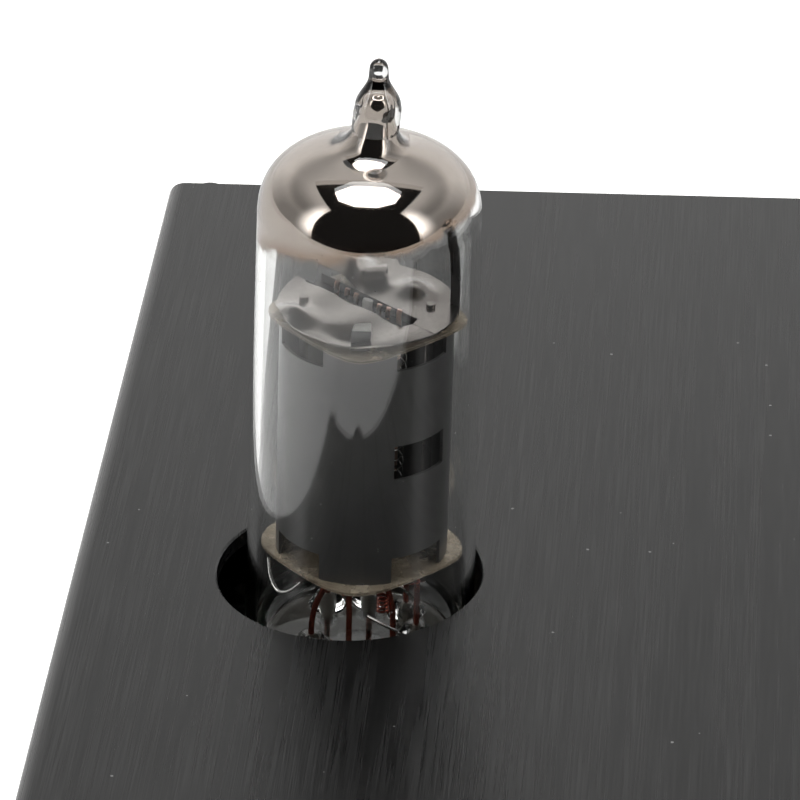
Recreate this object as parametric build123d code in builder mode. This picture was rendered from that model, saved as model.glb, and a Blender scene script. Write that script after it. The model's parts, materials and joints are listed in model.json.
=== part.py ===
"""Two-channel valve microphone preamplifier in a brushed, black anodised aluminium case.

Millimetres, +Z up, the front panel facing -Y. The origin is the centre of the whole
footprint, controls and sockets included, on the surface that the rubber feet stand on.
"""

import os
from math import atan2, cos, degrees, radians, sin, tan

from build123d import *

os.makedirs("parts", exist_ok=True)

# ---- Case -------------------------------------------------------------------
case_width = 120.0
case_depth = 112.0
case_height = 36.0
wall = 1.5
edge_radius = 1.5
foot_height = 4.0
foot_radius = 6.0
foot_inset = 12.0

plate_inset = 1.2  # the end plates are this much smaller than the shells all round
front_plate = 3.0
rear_plate = 2.0
knob_length = 14.5
knob_gap = 0.5
rear_reach = 3.4  # the furthest socket or rocker stands this far behind the rear plate

panel_top = foot_height + case_height
middle_z = foot_height + case_height / 2
front_reach = knob_gap + knob_length
case_y = (front_plate + front_reach - rear_plate - rear_reach) / 2
shell_front = case_y - case_depth / 2
shell_rear = case_y + case_depth / 2
front_face = shell_front - front_plate
rear_face = shell_rear + rear_plate
floor_z = foot_height + wall

end_screw_inset = 3.6
end_screw_radius = 1.2
end_screw_length = 9.0
end_screw_head = 2.25

# ---- Boards -----------------------------------------------------------------
board_thickness = 1.6
board_bottom = 11.5
board_top = board_bottom + board_thickness
tube_board_bottom = 23.0
tube_board_top = tube_board_bottom + board_thickness
standoff_radius = 2.75
board_screw_radius = 1.4
board_front = shell_front + 5
board_rear = shell_rear - 24
main_board_mounts = [(x, y) for x in (-50, 50) for y in (board_front + 18, board_rear - 8)]

# ---- Valves: seven-pin miniature, 19 mm bulb ---------------------------------
tube_hole_radius = 11.0
tube_x = 36.9
tube_y = shell_rear - 70.1
tube_board_mounts = [(x, tube_y + y) for x in (-50, 50) for y in (-9, 9)]
seat_depth = 7.5  # the glass base is this far below the top of the case
pin_circle = 9.525 / 2
pin_radius = 0.51
pin_length = 6.5
first_pin_angle = -141.0
pin_pitch = 45.0
pin_count = 7
socket_radius = 9.2
socket_gap = 0.6
socket_top = panel_top - seat_depth - socket_gap
valves = {  # side: (sign of x, lean in degrees, offset of the axis at the case's top)
    "left": (-1, 2.0, 0.90),
    "right": (1, -1.0, -0.30),
}

glass_wall = 0.9
lower_mica_z = seat_depth + 2.7
upper_mica_z = seat_depth + 24.0
mica_thickness = 0.3
anode_radius = 7.05
anode_sheet = 0.25
shield_z = upper_mica_z + 1.2
electrode_turn = -40.0  # direction of the row of grid rods
grid_rod_radius = 0.25
grid_rod_places = [1.3, 2.3, 3.5]
cathode_radius = 0.7
support_rod_x = 5.1

# ---- Front controls -----------------------------------------------------------
knob_x = 38.0
knob_radius = 11.0
shaft_radius = 3.0
bushing_radius = 3.5
button_x = [-16.5, -5.5, 5.5, 16.5]
button_z = 17.0
button_radius = 3.0
button_reach = 3.5
button_travel = 2.0
led_z = 28.0
led_x = button_x[:2] + [0.0] + button_x[2:]
led_radius = 1.5
running_gap = 0.05
moving_gap = 0.3

# ---- Rear sockets ---------------------------------------------------------------
xlr_x = [-41.0, -11.0]
xlr_flange = (26.0, 31.0)
xlr_flange_thickness = 2.0
xlr_body_radius = 11.8
xlr_bore_radius = 9.6
xlr_insert_radius = 7.7
xlr_bore_depth = 14.5
xlr_body_depth = 20.0
xlr_screw_places = [(-9.5, 12.0), (9.5, -12.0)]
latch_width = 7.0
latch_height = 2.6
latch_z = middle_z + 13.0
latch_travel = 1.2
jack_x = [15.0, 31.0]
jack_bore = 3.2
jack_bushing = 4.5
jack_bushing_reach = 3.4
jack_body = (13.0, 22.0, 13.0)
rocker_x = 46.5
rocker_z = 28.0
rocker_tilt = 10.0
dc_z = 12.8
dc_bore = 2.9


def section(y):
    """A sketch plane across the case at y: its x is X and its y is Z, facing the front."""
    return Plane(origin=(0, y, 0), x_dir=(1, 0, 0), z_dir=(0, -1, 0))


def save(part, name):
    part.label = name
    export_step(part, f"parts/{name}.step")


# =============================== Case ============================================
screw_x = case_width / 2 - end_screw_inset
screw_z = case_height / 2 - end_screw_inset
end_screws = [(x, middle_z + z) for x in (-screw_x, screw_x) for z in (-screw_z, screw_z)]


def shell_half(upper):
    """Half of the extruded sleeve, above or below the seam, with its two screw bosses."""
    with BuildPart() as shell:
        with BuildSketch(section(shell_front)):
            with Locations((0, middle_z)):
                RectangleRounded(case_width, case_height, edge_radius)
                RectangleRounded(
                    case_width - 2 * wall, case_height - 2 * wall, 0.4, mode=Mode.SUBTRACT
                )
            with Locations(*end_screws):
                Circle(2.6)
                Circle(end_screw_radius + 0.1, mode=Mode.SUBTRACT)
            other_half = middle_z + (-case_height if upper else case_height) / 2
            with Locations((0, other_half)):
                Rectangle(case_width * 2, case_height, mode=Mode.SUBTRACT)
        extrude(amount=-case_depth)
    return shell


with BuildPart() as top_shell:
    add(shell_half(upper=True).part)
    with BuildSketch(Plane.XY.offset(panel_top)):
        with Locations((-tube_x, tube_y), (tube_x, tube_y)):
            Circle(tube_hole_radius)
    extrude(amount=-2 * wall, mode=Mode.SUBTRACT)
    rims = top_shell.edges().filter_by(GeomType.CIRCLE).filter_by(
        lambda e: abs(e.radius - tube_hole_radius) < 0.01
    )
    chamfer(rims, 0.15)
save(top_shell.part, "top_shell")

with BuildPart() as bottom_shell:
    add(shell_half(upper=False).part)
    lip_x = case_width / 2 - wall - 0.6
    with BuildSketch(section(shell_front + 6)):
        with Locations((-lip_x, middle_z), (lip_x, middle_z)):
            Rectangle(1.0, 5.0)
        with Locations((-lip_x - 0.5, middle_z - 1.3), (lip_x + 0.5, middle_z - 1.3)):
            Rectangle(0.6, 2.4)
    extrude(amount=-(case_depth - 12))
    with Locations(Plane.XY.offset(floor_z)):
        with Locations(*main_board_mounts):
            Hole(1.6, depth=wall)
save(bottom_shell.part, "bottom_shell")

plate_size = (case_width - 2 * plate_inset, case_height - 2 * plate_inset)

with BuildPart() as front_panel:
    with BuildSketch(section(shell_front)):
        with Locations((0, middle_z)):
            RectangleRounded(*plate_size, 1.2)
        with Locations(*end_screws):
            Circle(end_screw_radius + 0.2, mode=Mode.SUBTRACT)
        with Locations((-knob_x, middle_z), (knob_x, middle_z)):
            Circle(bushing_radius + 0.05, mode=Mode.SUBTRACT)
        with Locations(*[(x, button_z) for x in button_x]):
            Circle(button_radius + moving_gap, mode=Mode.SUBTRACT)
        with Locations(*[(x, led_z) for x in led_x]):
            Circle(led_radius + 0.03, mode=Mode.SUBTRACT)
    extrude(amount=front_plate)
    outer_rim = front_panel.faces().sort_by(Axis.Y)[0].outer_wire().edges()
    chamfer(outer_rim, 0.4)
save(front_panel.part, "front_panel")

with BuildPart() as rear_panel:
    with BuildSketch(section(rear_face)):
        with Locations((0, middle_z)):
            RectangleRounded(*plate_size, 1.2)
        with Locations(*end_screws):
            Circle(end_screw_radius + 0.2, mode=Mode.SUBTRACT)
        with Locations(*[(x, middle_z) for x in xlr_x]):
            Circle(xlr_body_radius + 0.1, mode=Mode.SUBTRACT)
        with Locations(*[(x + dx, middle_z + dz) for x in xlr_x for dx, dz in xlr_screw_places]):
            Circle(1.3, mode=Mode.SUBTRACT)
        with Locations(*[(x, middle_z) for x in jack_x]):
            Circle(jack_bushing + 0.05, mode=Mode.SUBTRACT)
        with Locations((rocker_x, rocker_z)):
            Rectangle(10.2, 15.2, mode=Mode.SUBTRACT)
        with Locations((rocker_x, dc_z)):
            Circle(4.1, mode=Mode.SUBTRACT)
        with Locations(*[(x, latch_z) for x in xlr_x]):
            Rectangle(latch_width - 1.4, latch_height, mode=Mode.SUBTRACT)
    extrude(amount=rear_plate)
    chamfer(rear_panel.faces().sort_by(Axis.Y)[-1].outer_wire().edges(), 0.3)
save(rear_panel.part, "rear_panel")


def pan_screw(plane, shank_radius, length, head_radius, head_height):
    """A pan-head socket screw: the plane is under the head, its normal out of the head."""
    with BuildPart() as screw:
        with BuildSketch(plane):
            Circle(head_radius)
        extrude(amount=head_height)
        crown = screw.faces().sort_by(Axis(plane.origin, plane.z_dir))[-1]
        fillet(crown.edges(), head_height * 0.45)
        with BuildSketch(plane.offset(head_height)):
            RegularPolygon(head_radius * 0.42, 6)
        extrude(amount=-head_height * 0.55, mode=Mode.SUBTRACT)
        with BuildSketch(plane):
            Circle(shank_radius)
        extrude(amount=-length)
    return screw.part


def facing(x, y, z, toward):
    """A plane at a point, facing +Y or -Y."""
    return Plane(origin=(x, y, z), x_dir=(1, 0, 0), z_dir=(0, toward, 0))


end_screw_parts = [
    pan_screw(
        facing(x, face, z, toward), end_screw_radius, end_screw_length, end_screw_head, 1.4
    )
    for x, z in end_screws
    for face, toward in ((front_face, -1), (rear_face, 1))
]
save(Compound(children=end_screw_parts), "end_plate_screws")

with BuildPart() as rubber_feet:
    foot_x = case_width / 2 - foot_inset
    foot_y = case_depth / 2 - foot_inset
    with BuildSketch(Plane.XY.offset(foot_height)):
        with Locations(*[(x, case_y + y) for x in (-foot_x, foot_x) for y in (-foot_y, foot_y)]):
            Circle(foot_radius)
    extrude(amount=-foot_height, taper=8)
    chamfer(rubber_feet.faces().filter_by(Axis.Z).group_by(Axis.Z)[0].edges(), 0.5)
save(rubber_feet.part, "rubber_feet")

# =============================== Boards ==========================================
with BuildPart() as main_board:
    with BuildSketch(Plane.XY.offset(board_bottom)):
        with Locations((0, (board_front + board_rear) / 2)):
            Rectangle(110, board_rear - board_front)
        with Locations(*main_board_mounts):
            Circle(1.6, mode=Mode.SUBTRACT)
    extrude(amount=board_thickness)
save(main_board.part, "main_board")

with BuildPart() as board_standoffs:
    with BuildSketch(Plane.XY.offset(floor_z)):
        with Locations(*main_board_mounts):
            RegularPolygon(standoff_radius, 6)
            Circle(board_screw_radius + 0.1, mode=Mode.SUBTRACT)
    extrude(amount=board_bottom - floor_z)
    with BuildSketch(Plane.XY.offset(board_top)):
        with Locations(*tube_board_mounts):
            RegularPolygon(standoff_radius, 6)
            Circle(board_screw_radius + 0.1, mode=Mode.SUBTRACT)
    extrude(amount=tube_board_bottom - board_top)
save(board_standoffs.part, "board_standoffs")

board_screw_levels = [  # places, height and direction of the heads
    (main_board_mounts, board_top, 1),
    (main_board_mounts, foot_height, -1),
    (tube_board_mounts, tube_board_top, 1),
]
board_screw_parts = [
    pan_screw(Plane(origin=(x, y, z), z_dir=(0, 0, up)), board_screw_radius, 4.4, 2.6, 1.6)
    for places, z, up in board_screw_levels
    for x, y in places
]
save(Compound(children=board_screw_parts), "board_screws")


def pin_places(radius):
    """The seven pins of a miniature valve, 45 degrees apart, with one gap."""
    angles = [radians(first_pin_angle + pin_pitch * k) for k in range(pin_count)]
    return [(radius * cos(a), radius * sin(a)) for a in angles]


def socket_centre(side):
    """A socket stands where the leaning valve's pins are, half-way down them."""
    sign, lean, offset = valves[side]
    below = seat_depth + pin_length / 2
    return sign * tube_x + offset - below * tan(radians(lean)), tube_y


socket_centres = [socket_centre(side) for side in valves]
socket_pins = [(cx + x, cy + y) for cx, cy in socket_centres for x, y in pin_places(pin_circle)]

with BuildPart() as tube_board:
    with BuildSketch(Plane.XY.offset(tube_board_bottom)):
        with Locations((0, tube_y)):
            RectangleRounded(108, 26, 2)
        with Locations(*tube_board_mounts):
            Circle(1.6, mode=Mode.SUBTRACT)
        with Locations(*socket_pins):
            Circle(0.45, mode=Mode.SUBTRACT)
    extrude(amount=board_thickness)
save(tube_board.part, "tube_board")

with BuildPart() as tube_sockets:
    with BuildSketch(Plane.XY.offset(tube_board_top)):
        with Locations(*socket_centres):
            Circle(socket_radius)
            Circle(2.2, mode=Mode.SUBTRACT)
        with Locations(*socket_pins):
            Circle(0.45, mode=Mode.SUBTRACT)
    extrude(amount=socket_top - tube_board_top)
    chamfer(tube_sockets.faces().filter_by(Axis.Z).group_by(Axis.Z)[-1].edges().filter_by(
        lambda e: e.radius > socket_radius - 0.1), 0.8)
    with BuildSketch(Plane.XY.offset(socket_top)):
        with Locations(*socket_pins):
            Circle(0.85)
    extrude(amount=-(pin_length + 0.4), mode=Mode.SUBTRACT)
save(tube_sockets.part, "tube_sockets")

with BuildPart() as socket_contacts:
    with BuildSketch(Plane.XY.offset(tube_board_bottom - 1)):
        with Locations(*socket_pins):
            Circle(0.4)
    extrude(amount=socket_top - pin_length - 0.45 - tube_board_bottom + 1)
save(socket_contacts.part, "socket_contacts")

# Parts soldered to the main board, in front of and behind the valve board.
front_row = tube_y - 20
rear_row = tube_y + 28
electrolytic_places = [(x, front_row) for x in (-36, -24, 24, 36)]
electrolytic_places += [(x, rear_row) for x in (-10, 6, 22)]
with BuildPart() as electrolytic_capacitors:
    with BuildSketch(Plane.XY.offset(board_top)):
        with Locations(*electrolytic_places):
            Circle(5)
    extrude(amount=12)
    fillet(electrolytic_capacitors.faces().filter_by(Axis.Z).edges(), 0.6)
save(electrolytic_capacitors.part, "electrolytic_capacitors")

with BuildPart() as film_capacitors:
    with BuildSketch(Plane.XY.offset(board_top)):
        with Locations(*[(x, tube_y - 8) for x in (-40, -24, -8, 8, 24, 40)]):
            RectangleRounded(12, 5, 0.8)
    extrude(amount=8)
    fillet(film_capacitors.faces().filter_by(Axis.Z).group_by(Axis.Z)[-1].edges(), 0.7)
save(film_capacitors.part, "film_capacitors")

with BuildPart() as opamp_chips:
    for x in (-8, 8):
        with BuildSketch(Plane.XY.offset(board_top + 0.5)):
            with Locations((x, front_row)):
                Rectangle(9.6, 6.4)
        extrude(amount=3.4)
        with BuildSketch(Plane.XY.offset(board_top)):
            with Locations((x, front_row)):
                with GridLocations(2.54, 7.2, 4, 2):
                    Rectangle(0.5, 0.9)
        extrude(amount=2)
save(opamp_chips.part, "opamp_chips")

with BuildPart() as power_inductor:
    with BuildSketch(Plane.XY.offset(board_top)):
        with Locations((37, rear_row)):
            Circle(6)
            Circle(2.4, mode=Mode.SUBTRACT)
    extrude(amount=6)
    fillet(power_inductor.faces().filter_by(Axis.Z).group_by(Axis.Z)[-1].edges(), 0.8)
save(power_inductor.part, "power_inductor")

with BuildPart() as regulator_heatsink:
    with BuildSketch(Plane.XY.offset(board_top)):
        with Locations((-32, rear_row - 5)):
            Rectangle(20, 2)
            with GridLocations(3.6, 0, 6, 1):
                Rectangle(1.2, 10, align=(Align.CENTER, Align.MIN))
    extrude(amount=15)
save(regulator_heatsink.part, "regulator_heatsink")

with BuildPart() as resistors:
    resistor_places = [(x, tube_y + y) for y in (1, 12) for x in range(-30, 31, 10)]
    for x, y in resistor_places:
        with BuildSketch(Plane(origin=(x, y, board_top + 1.25), x_dir=(0, 1, 0), z_dir=(1, 0, 0))):
            Circle(1.2)
        extrude(amount=2.8, both=True)
        with BuildSketch(Plane(origin=(x, y, board_top + 1.25), x_dir=(0, 1, 0), z_dir=(1, 0, 0))):
            Circle(0.3)
        extrude(amount=4.2, both=True)
save(resistors.part, "resistors")

# =============================== Front controls ==================================
with BuildPart() as gain_pots:
    for x in (-knob_x, knob_x):
        with BuildSketch(section(shell_front)):
            with Locations((x, middle_z)):
                Circle(8)
        extrude(amount=-8.5)
        with BuildSketch(section(shell_front)):
            with Locations((x, middle_z)):
                Circle(bushing_radius)
        extrude(amount=front_plate + 3.5)
        with BuildSketch(Plane.XY.offset(board_top)):
            with Locations((x, shell_front + 6.5)):
                with GridLocations(5, 0, 3, 1):
                    Rectangle(1.2, 0.8)
        extrude(amount=3.5)
        with BuildSketch(section(front_face - 3.5)):
            with Locations((x, middle_z)):
                Circle(shaft_radius + running_gap)
        extrude(amount=-(front_plate + 3.5 + 6), mode=Mode.SUBTRACT)
save(gain_pots.part, "gain_pots")

with BuildPart() as pot_nuts:
    with BuildSketch(section(front_face)):
        with Locations((-knob_x, middle_z), (knob_x, middle_z)):
            RegularPolygon(5.7, 6)
            Circle(bushing_radius, mode=Mode.SUBTRACT)
    extrude(amount=2)
save(pot_nuts.part, "pot_nuts")

for side, sign in (("left", -1), ("right", 1)):
    knob_centre = (sign * knob_x, middle_z)
    with BuildPart() as shaft:
        with BuildSketch(section(shell_front + 5.5)):
            with Locations(knob_centre):
                Circle(shaft_radius)
        extrude(amount=5.5 + front_plate + knob_gap + knob_length - 2.5)
    save(shaft.part, f"gain_shaft_{side}")

    with BuildPart() as knob:
        with BuildSketch(section(front_face - knob_gap)):
            with Locations(knob_centre):
                Circle(knob_radius)
        extrude(amount=knob_length)
        knob_front = knob.faces().sort_by(Axis.Y)[0]
        chamfer(knob_front.edges(), 0.8)
        with BuildSketch(section(front_face - knob_gap)):
            with Locations(knob_centre):
                Circle(6.4)
        extrude(amount=4.0, mode=Mode.SUBTRACT)
        with BuildSketch(section(front_face - knob_gap)):
            with Locations(knob_centre):
                Circle(shaft_radius)
        extrude(amount=knob_length - 2.5, mode=Mode.SUBTRACT)
        with BuildSketch(section(front_face - knob_gap - knob_length)):
            with Locations((knob_centre[0], knob_centre[1] + knob_radius * 0.62)):
                Rectangle(1.2, knob_radius * 0.9)
        extrude(amount=-0.6, mode=Mode.SUBTRACT)
    save(knob.part, f"gain_knob_{side}")

switch_front = shell_front + 4.0
switch_depth = 11.0
stem_half = 1.5
with BuildPart() as switch_bodies:
    with BuildSketch(section(switch_front)):
        with Locations(*[(x, board_top + 3.9) for x in button_x]):
            Rectangle(8, 7.8)
        with Locations(*[(x, button_z) for x in button_x]):
            Rectangle(2 * stem_half + 0.6, 2 * stem_half + 0.6, mode=Mode.SUBTRACT)
    extrude(amount=-switch_depth)
save(switch_bodies.part, "switch_bodies")

button_names = ["pad_button_left", "phantom_button_left", "phantom_button_right", "pad_button_right"]
for x, name in zip(button_x, button_names):
    with BuildPart() as button:
        with BuildSketch(section(front_face - button_reach)):
            with Locations((x, button_z)):
                Circle(button_radius)
        extrude(amount=-(button_reach + front_plate + 0.8))
        fillet(button.faces().sort_by(Axis.Y)[0].edges(), 0.5)
        with BuildSketch(section(shell_front)):
            with Locations((x, button_z)):
                Rectangle(2 * stem_half, 2 * stem_half)
        extrude(amount=-(4.0 + switch_depth - button_travel - 1.0))
    save(button.part, name)

with BuildPart() as indicator_leds:
    for x in led_x:
        with BuildSketch(section(shell_front)):
            with Locations((x, led_z)):
                Circle(led_radius)
        extrude(amount=front_plate + 1.2)
        with BuildSketch(section(shell_front)):
            with Locations((x, led_z)):
                Circle(led_radius + 0.4)
        extrude(amount=-1.0)
    lens_rims = indicator_leds.faces().filter_by(Axis.Y).group_by(Axis.Y)[0].edges()
    fillet(lens_rims, 1.1)
save(indicator_leds.part, "indicator_leds")

# =============================== Rear sockets ====================================
xlr_face = rear_face + xlr_flange_thickness


def contact_places(x):
    """The three contact holes of an XLR insert, on a 4.8 mm radius, one at the bottom."""
    return [(x + 4.4 * cos(radians(a)), middle_z + 4.4 * sin(radians(a))) for a in (35, 145, 270)]


with BuildPart() as xlr_shells:
    for x in xlr_x:
        with BuildSketch(section(xlr_face)):
            with Locations((x, middle_z)):
                RectangleRounded(*xlr_flange, 2.5)
        extrude(amount=xlr_flange_thickness)
        with BuildSketch(section(xlr_face)):
            with Locations((x, middle_z)):
                Circle(xlr_body_radius)
        extrude(amount=xlr_flange_thickness + rear_plate + xlr_body_depth)
        with BuildSketch(section(xlr_face)):
            with Locations((x, middle_z)):
                Circle(xlr_bore_radius)
            with Locations(*[(x + dx, middle_z + dz) for dx, dz in xlr_screw_places]):
                Circle(1.3)
            with Locations((x, latch_z)):
                Rectangle(latch_width + 0.6, latch_height + 0.6)
        extrude(amount=xlr_bore_depth, mode=Mode.SUBTRACT)
save(xlr_shells.part, "xlr_shells")

with BuildPart() as xlr_inserts:
    for x in xlr_x:
        with BuildSketch(section(xlr_face - 1.0)):
            with Locations((x, middle_z)):
                Circle(xlr_insert_radius)
            with Locations(*contact_places(x)):
                Circle(1.6, mode=Mode.SUBTRACT)
        extrude(amount=xlr_bore_depth - 1.0)
    fillet(xlr_inserts.faces().filter_by(Axis.Y).group_by(Axis.Y)[-1].edges(), 0.3)
save(xlr_inserts.part, "xlr_inserts")

with BuildPart() as xlr_contacts:
    for x in xlr_x:
        with BuildSketch(section(xlr_face - 2.0)):
            with Locations(*contact_places(x)):
                Circle(1.6)
                Circle(1.25, mode=Mode.SUBTRACT)
        extrude(amount=xlr_bore_depth - 2.0)
save(xlr_contacts.part, "xlr_contacts")

for x, side in zip(xlr_x, ("left", "right")):
    with BuildPart() as latch:
        with BuildSketch(section(xlr_face + 1.4)):
            with Locations((x, latch_z)):
                Rectangle(latch_width, latch_height)
        extrude(amount=1.4 + xlr_flange_thickness - latch_travel - 0.2)
        chamfer(latch.faces().sort_by(Axis.Y)[-1].edges(), 0.4)
        with BuildSketch(section(rear_face + latch_travel + 0.6)):
            with Locations((x, latch_z)):
                Rectangle(latch_width - 3.0, latch_height - 1.2)
        extrude(amount=rear_plate + latch_travel + 0.6)
    save(latch.part, f"xlr_latch_{side}")

xlr_screw_parts = [
    pan_screw(facing(x + dx, xlr_face, middle_z + dz, 1), 1.2, 6.5, 2.25, 1.2)
    for x in xlr_x
    for dx, dz in xlr_screw_places
]
save(Compound(children=xlr_screw_parts), "xlr_screws")

with BuildPart() as output_jacks:
    for x in jack_x:
        width, depth, height = jack_body
        with BuildSketch(section(shell_rear)):
            with Locations((x, middle_z)):
                Rectangle(width, height)
        extrude(amount=depth)
        with BuildSketch(section(rear_face + jack_bushing_reach)):
            with Locations((x, middle_z)):
                Circle(jack_bushing)
        extrude(amount=rear_plate + jack_bushing_reach)
        with BuildSketch(section(rear_face + jack_bushing_reach)):
            with Locations((x, middle_z)):
                Circle(jack_bore)
        extrude(amount=rear_plate + jack_bushing_reach + depth - 1.5, mode=Mode.SUBTRACT)
save(output_jacks.part, "output_jacks")

with BuildPart() as jack_nuts:
    with BuildSketch(section(rear_face + 2.4)):
        with Locations(*[(x, middle_z) for x in jack_x]):
            Circle(6.6)
            Circle(jack_bushing, mode=Mode.SUBTRACT)
    extrude(amount=2.4)
    chamfer(jack_nuts.faces().filter_by(Axis.Y).group_by(Axis.Y)[-1].edges().filter_by(
        lambda e: e.radius > 6), 0.4)
save(jack_nuts.part, "jack_nuts")

with BuildPart() as dc_jack:
    dc_centre = (rocker_x, dc_z)
    with BuildSketch(section(shell_rear)):
        with Locations(dc_centre):
            Rectangle(9.5, 9.4)
    extrude(amount=12)
    with BuildSketch(section(rear_face + 0.4)):
        with Locations(dc_centre):
            Circle(4.0)
    extrude(amount=rear_plate + 0.4)
    with BuildSketch(section(rear_face + 0.4)):
        with Locations(dc_centre):
            Circle(dc_bore)
            Circle(1.0, mode=Mode.SUBTRACT)
    extrude(amount=rear_plate + 9.9, mode=Mode.SUBTRACT)
save(dc_jack.part, "dc_jack")

rocker_pivot_y = rear_face + 0.2
with BuildPart() as rocker_frame:
    with BuildSketch(section(rear_face + 1.2)):
        with Locations((rocker_x, rocker_z)):
            RectangleRounded(13, 18, 1)
    extrude(amount=1.2)
    with BuildSketch(section(rear_face)):
        with Locations((rocker_x, rocker_z)):
            Rectangle(10, 15)
    extrude(amount=13)
    with BuildSketch(section(rear_face + 1.2)):
        with Locations((rocker_x, rocker_z)):
            Rectangle(8.6, 14)
    extrude(amount=9, mode=Mode.SUBTRACT)
    with BuildSketch(Plane(origin=(rocker_x, rocker_pivot_y, rocker_z), z_dir=(1, 0, 0))):
        Circle(0.65)
    extrude(amount=4.7, both=True, mode=Mode.SUBTRACT)
save(rocker_frame.part, "rocker_frame")

with BuildPart() as power_rocker:
    pivot = (rocker_x, rocker_pivot_y, rocker_z)
    tilted = (0, cos(radians(rocker_tilt)), sin(radians(rocker_tilt)))
    slope = 6.2 * tan(radians(rocker_tilt))
    with BuildSketch(Plane(origin=pivot, x_dir=tilted, z_dir=(1, 0, 0))):
        with BuildLine():
            Polyline((0.9, 0), (0.9 + slope, 6.2), (-1.2, 6.2))
            ThreePointArc((-1.2, 6.2), (-4.6, 0), (-1.2, -6.2))
            Polyline((-1.2, -6.2), (0.9 + slope, -6.2), (0.9, 0))
        make_face()
    extrude(amount=4.0, both=True)
    with BuildSketch(Plane(origin=pivot, z_dir=(1, 0, 0))):
        Circle(0.6)
    extrude(amount=4.6, both=True)
save(power_rocker.part, "power_rocker")

# =============================== Valves ==========================================
# Each valve is drawn upright with the middle of its glass base at the origin, then
# placed in the case, leaning as it does in its socket.
base_flat = 6.9
base_corner = (9.53, 2.6)
shoulder = (8.96, seat_depth + 32.8)
dome = [shoulder, (8.78, 42.1), (8.0, 43.8), (6.2, 45.4), (4.3, 46.17), (3.0, 46.86)]
tip_root = [dome[-1], (2.15, 48.15), (1.9, 49.3), (1.73, 50.7), (1.06, 51.9), (0.8, 52.8)]
tip_top = 54.15
cavity_radius = 1.1
cavity_z = 49.8
button_top = 2.0
bead_top = 3.3


def glass_bulb():
    """The envelope: a tapering tube, a domed top with its pinched-off tip, a thick base."""
    with BuildPart() as bulb:
        with BuildSketch(Plane.XZ):
            with BuildLine():
                Line((0, 0), (base_flat, 0))
                TangentArc((base_flat, 0), base_corner, tangent=(1, 0))
                Line(base_corner, shoulder)
                Spline(*dome, tangents=((-0.01, 1), (-1, 0.85)))
                Spline(*tip_root, tangents=((-1, 0.85), (-0.05, 1)))
                Spline(tip_root[-1], (0.65, 53.6), (0, tip_top), tangents=((-0.05, 1), (-1, 0)))
                Line((0, tip_top), (0, 0))
            make_face()
        revolve(axis=Axis.Z)
        with BuildSketch(Plane.XZ):
            with BuildLine():
                Line((0, button_top), (7.2, button_top))
                ThreePointArc((7.2, button_top), (8.25, 2.55), (8.55, 3.9))
                Line((8.55, 3.9), (8.1, 40.2))
                Spline((8.1, 40.2), (7.85, 42.0), (7.1, 43.3), (5.5, 44.5), (3.9, 45.2), (2.2, 46.4),
                       (cavity_radius, cavity_z), tangents=((-0.01, 1), (0, 1)))
                CenterArc((0, cavity_z), cavity_radius, 0, 90)
                Line((0, cavity_z + cavity_radius), (0, button_top))
            make_face()
        revolve(axis=Axis.Z, mode=Mode.SUBTRACT)
        with BuildSketch(Plane.XY.offset(button_top)):
            with Locations(*pin_places(pin_circle)):
                Circle(1.1)
        extrude(amount=bead_top - button_top, taper=12)
        with BuildSketch(Plane.XY):
            with Locations(*pin_places(pin_circle)):
                Circle(pin_radius)
        extrude(amount=bead_top + 0.5, mode=Mode.SUBTRACT)
    return bulb.part


def base_pins():
    """Seven stiff pins through the glass, each with its lead up to the lower mica."""
    with BuildPart() as pins:
        with BuildSketch(Plane.XY.offset(-pin_length)):
            with Locations(*pin_places(pin_circle)):
                Circle(pin_radius)
        extrude(amount=pin_length + bead_top)
        fillet(pins.faces().filter_by(Axis.Z).group_by(Axis.Z)[0].edges(), 0.3)
        with BuildSketch(Plane.XY.offset(bead_top)):
            with Locations(*pin_places(pin_circle)):
                Circle(0.35)
        extrude(amount=lower_mica_z - bead_top - 1.3)
    return pins.part


def electrode_places(distances):
    """Places on both sides of the middle, along the row of grid rods."""
    turn = radians(electrode_turn)
    return [(s * d * cos(turn), s * d * sin(turn)) for d in distances for s in (-1, 1)]


def mica(z, half_width):
    """A mica spacer: a square turned by 45 degrees, its corners touching the glass."""
    with BuildPart() as spacer:
        with BuildSketch(Plane.XY.offset(z)):
            Rectangle(2 * half_width, 2 * half_width, rotation=45)
            Circle(7.9, mode=Mode.INTERSECT)
            Circle(cathode_radius + 0.02, mode=Mode.SUBTRACT)
            with Locations(*electrode_places(grid_rod_places)):
                Circle(grid_rod_radius + 0.02, mode=Mode.SUBTRACT)
            with Locations((-support_rod_x, 0), (support_rod_x, 0)):
                Circle(0.42, mode=Mode.SUBTRACT)
            with Locations((0, -anode_radius + anode_sheet / 2), (0, anode_radius - anode_sheet / 2)):
                Rectangle(1.7, anode_sheet + 0.14, mode=Mode.SUBTRACT)
        extrude(amount=mica_thickness)
    return spacer.part


window_width = 2 * anode_radius * sin(radians(21))
window_height = 3.2
end_window_height = 2.3
anode_bottom = lower_mica_z + mica_thickness
anode_top = upper_mica_z


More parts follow.
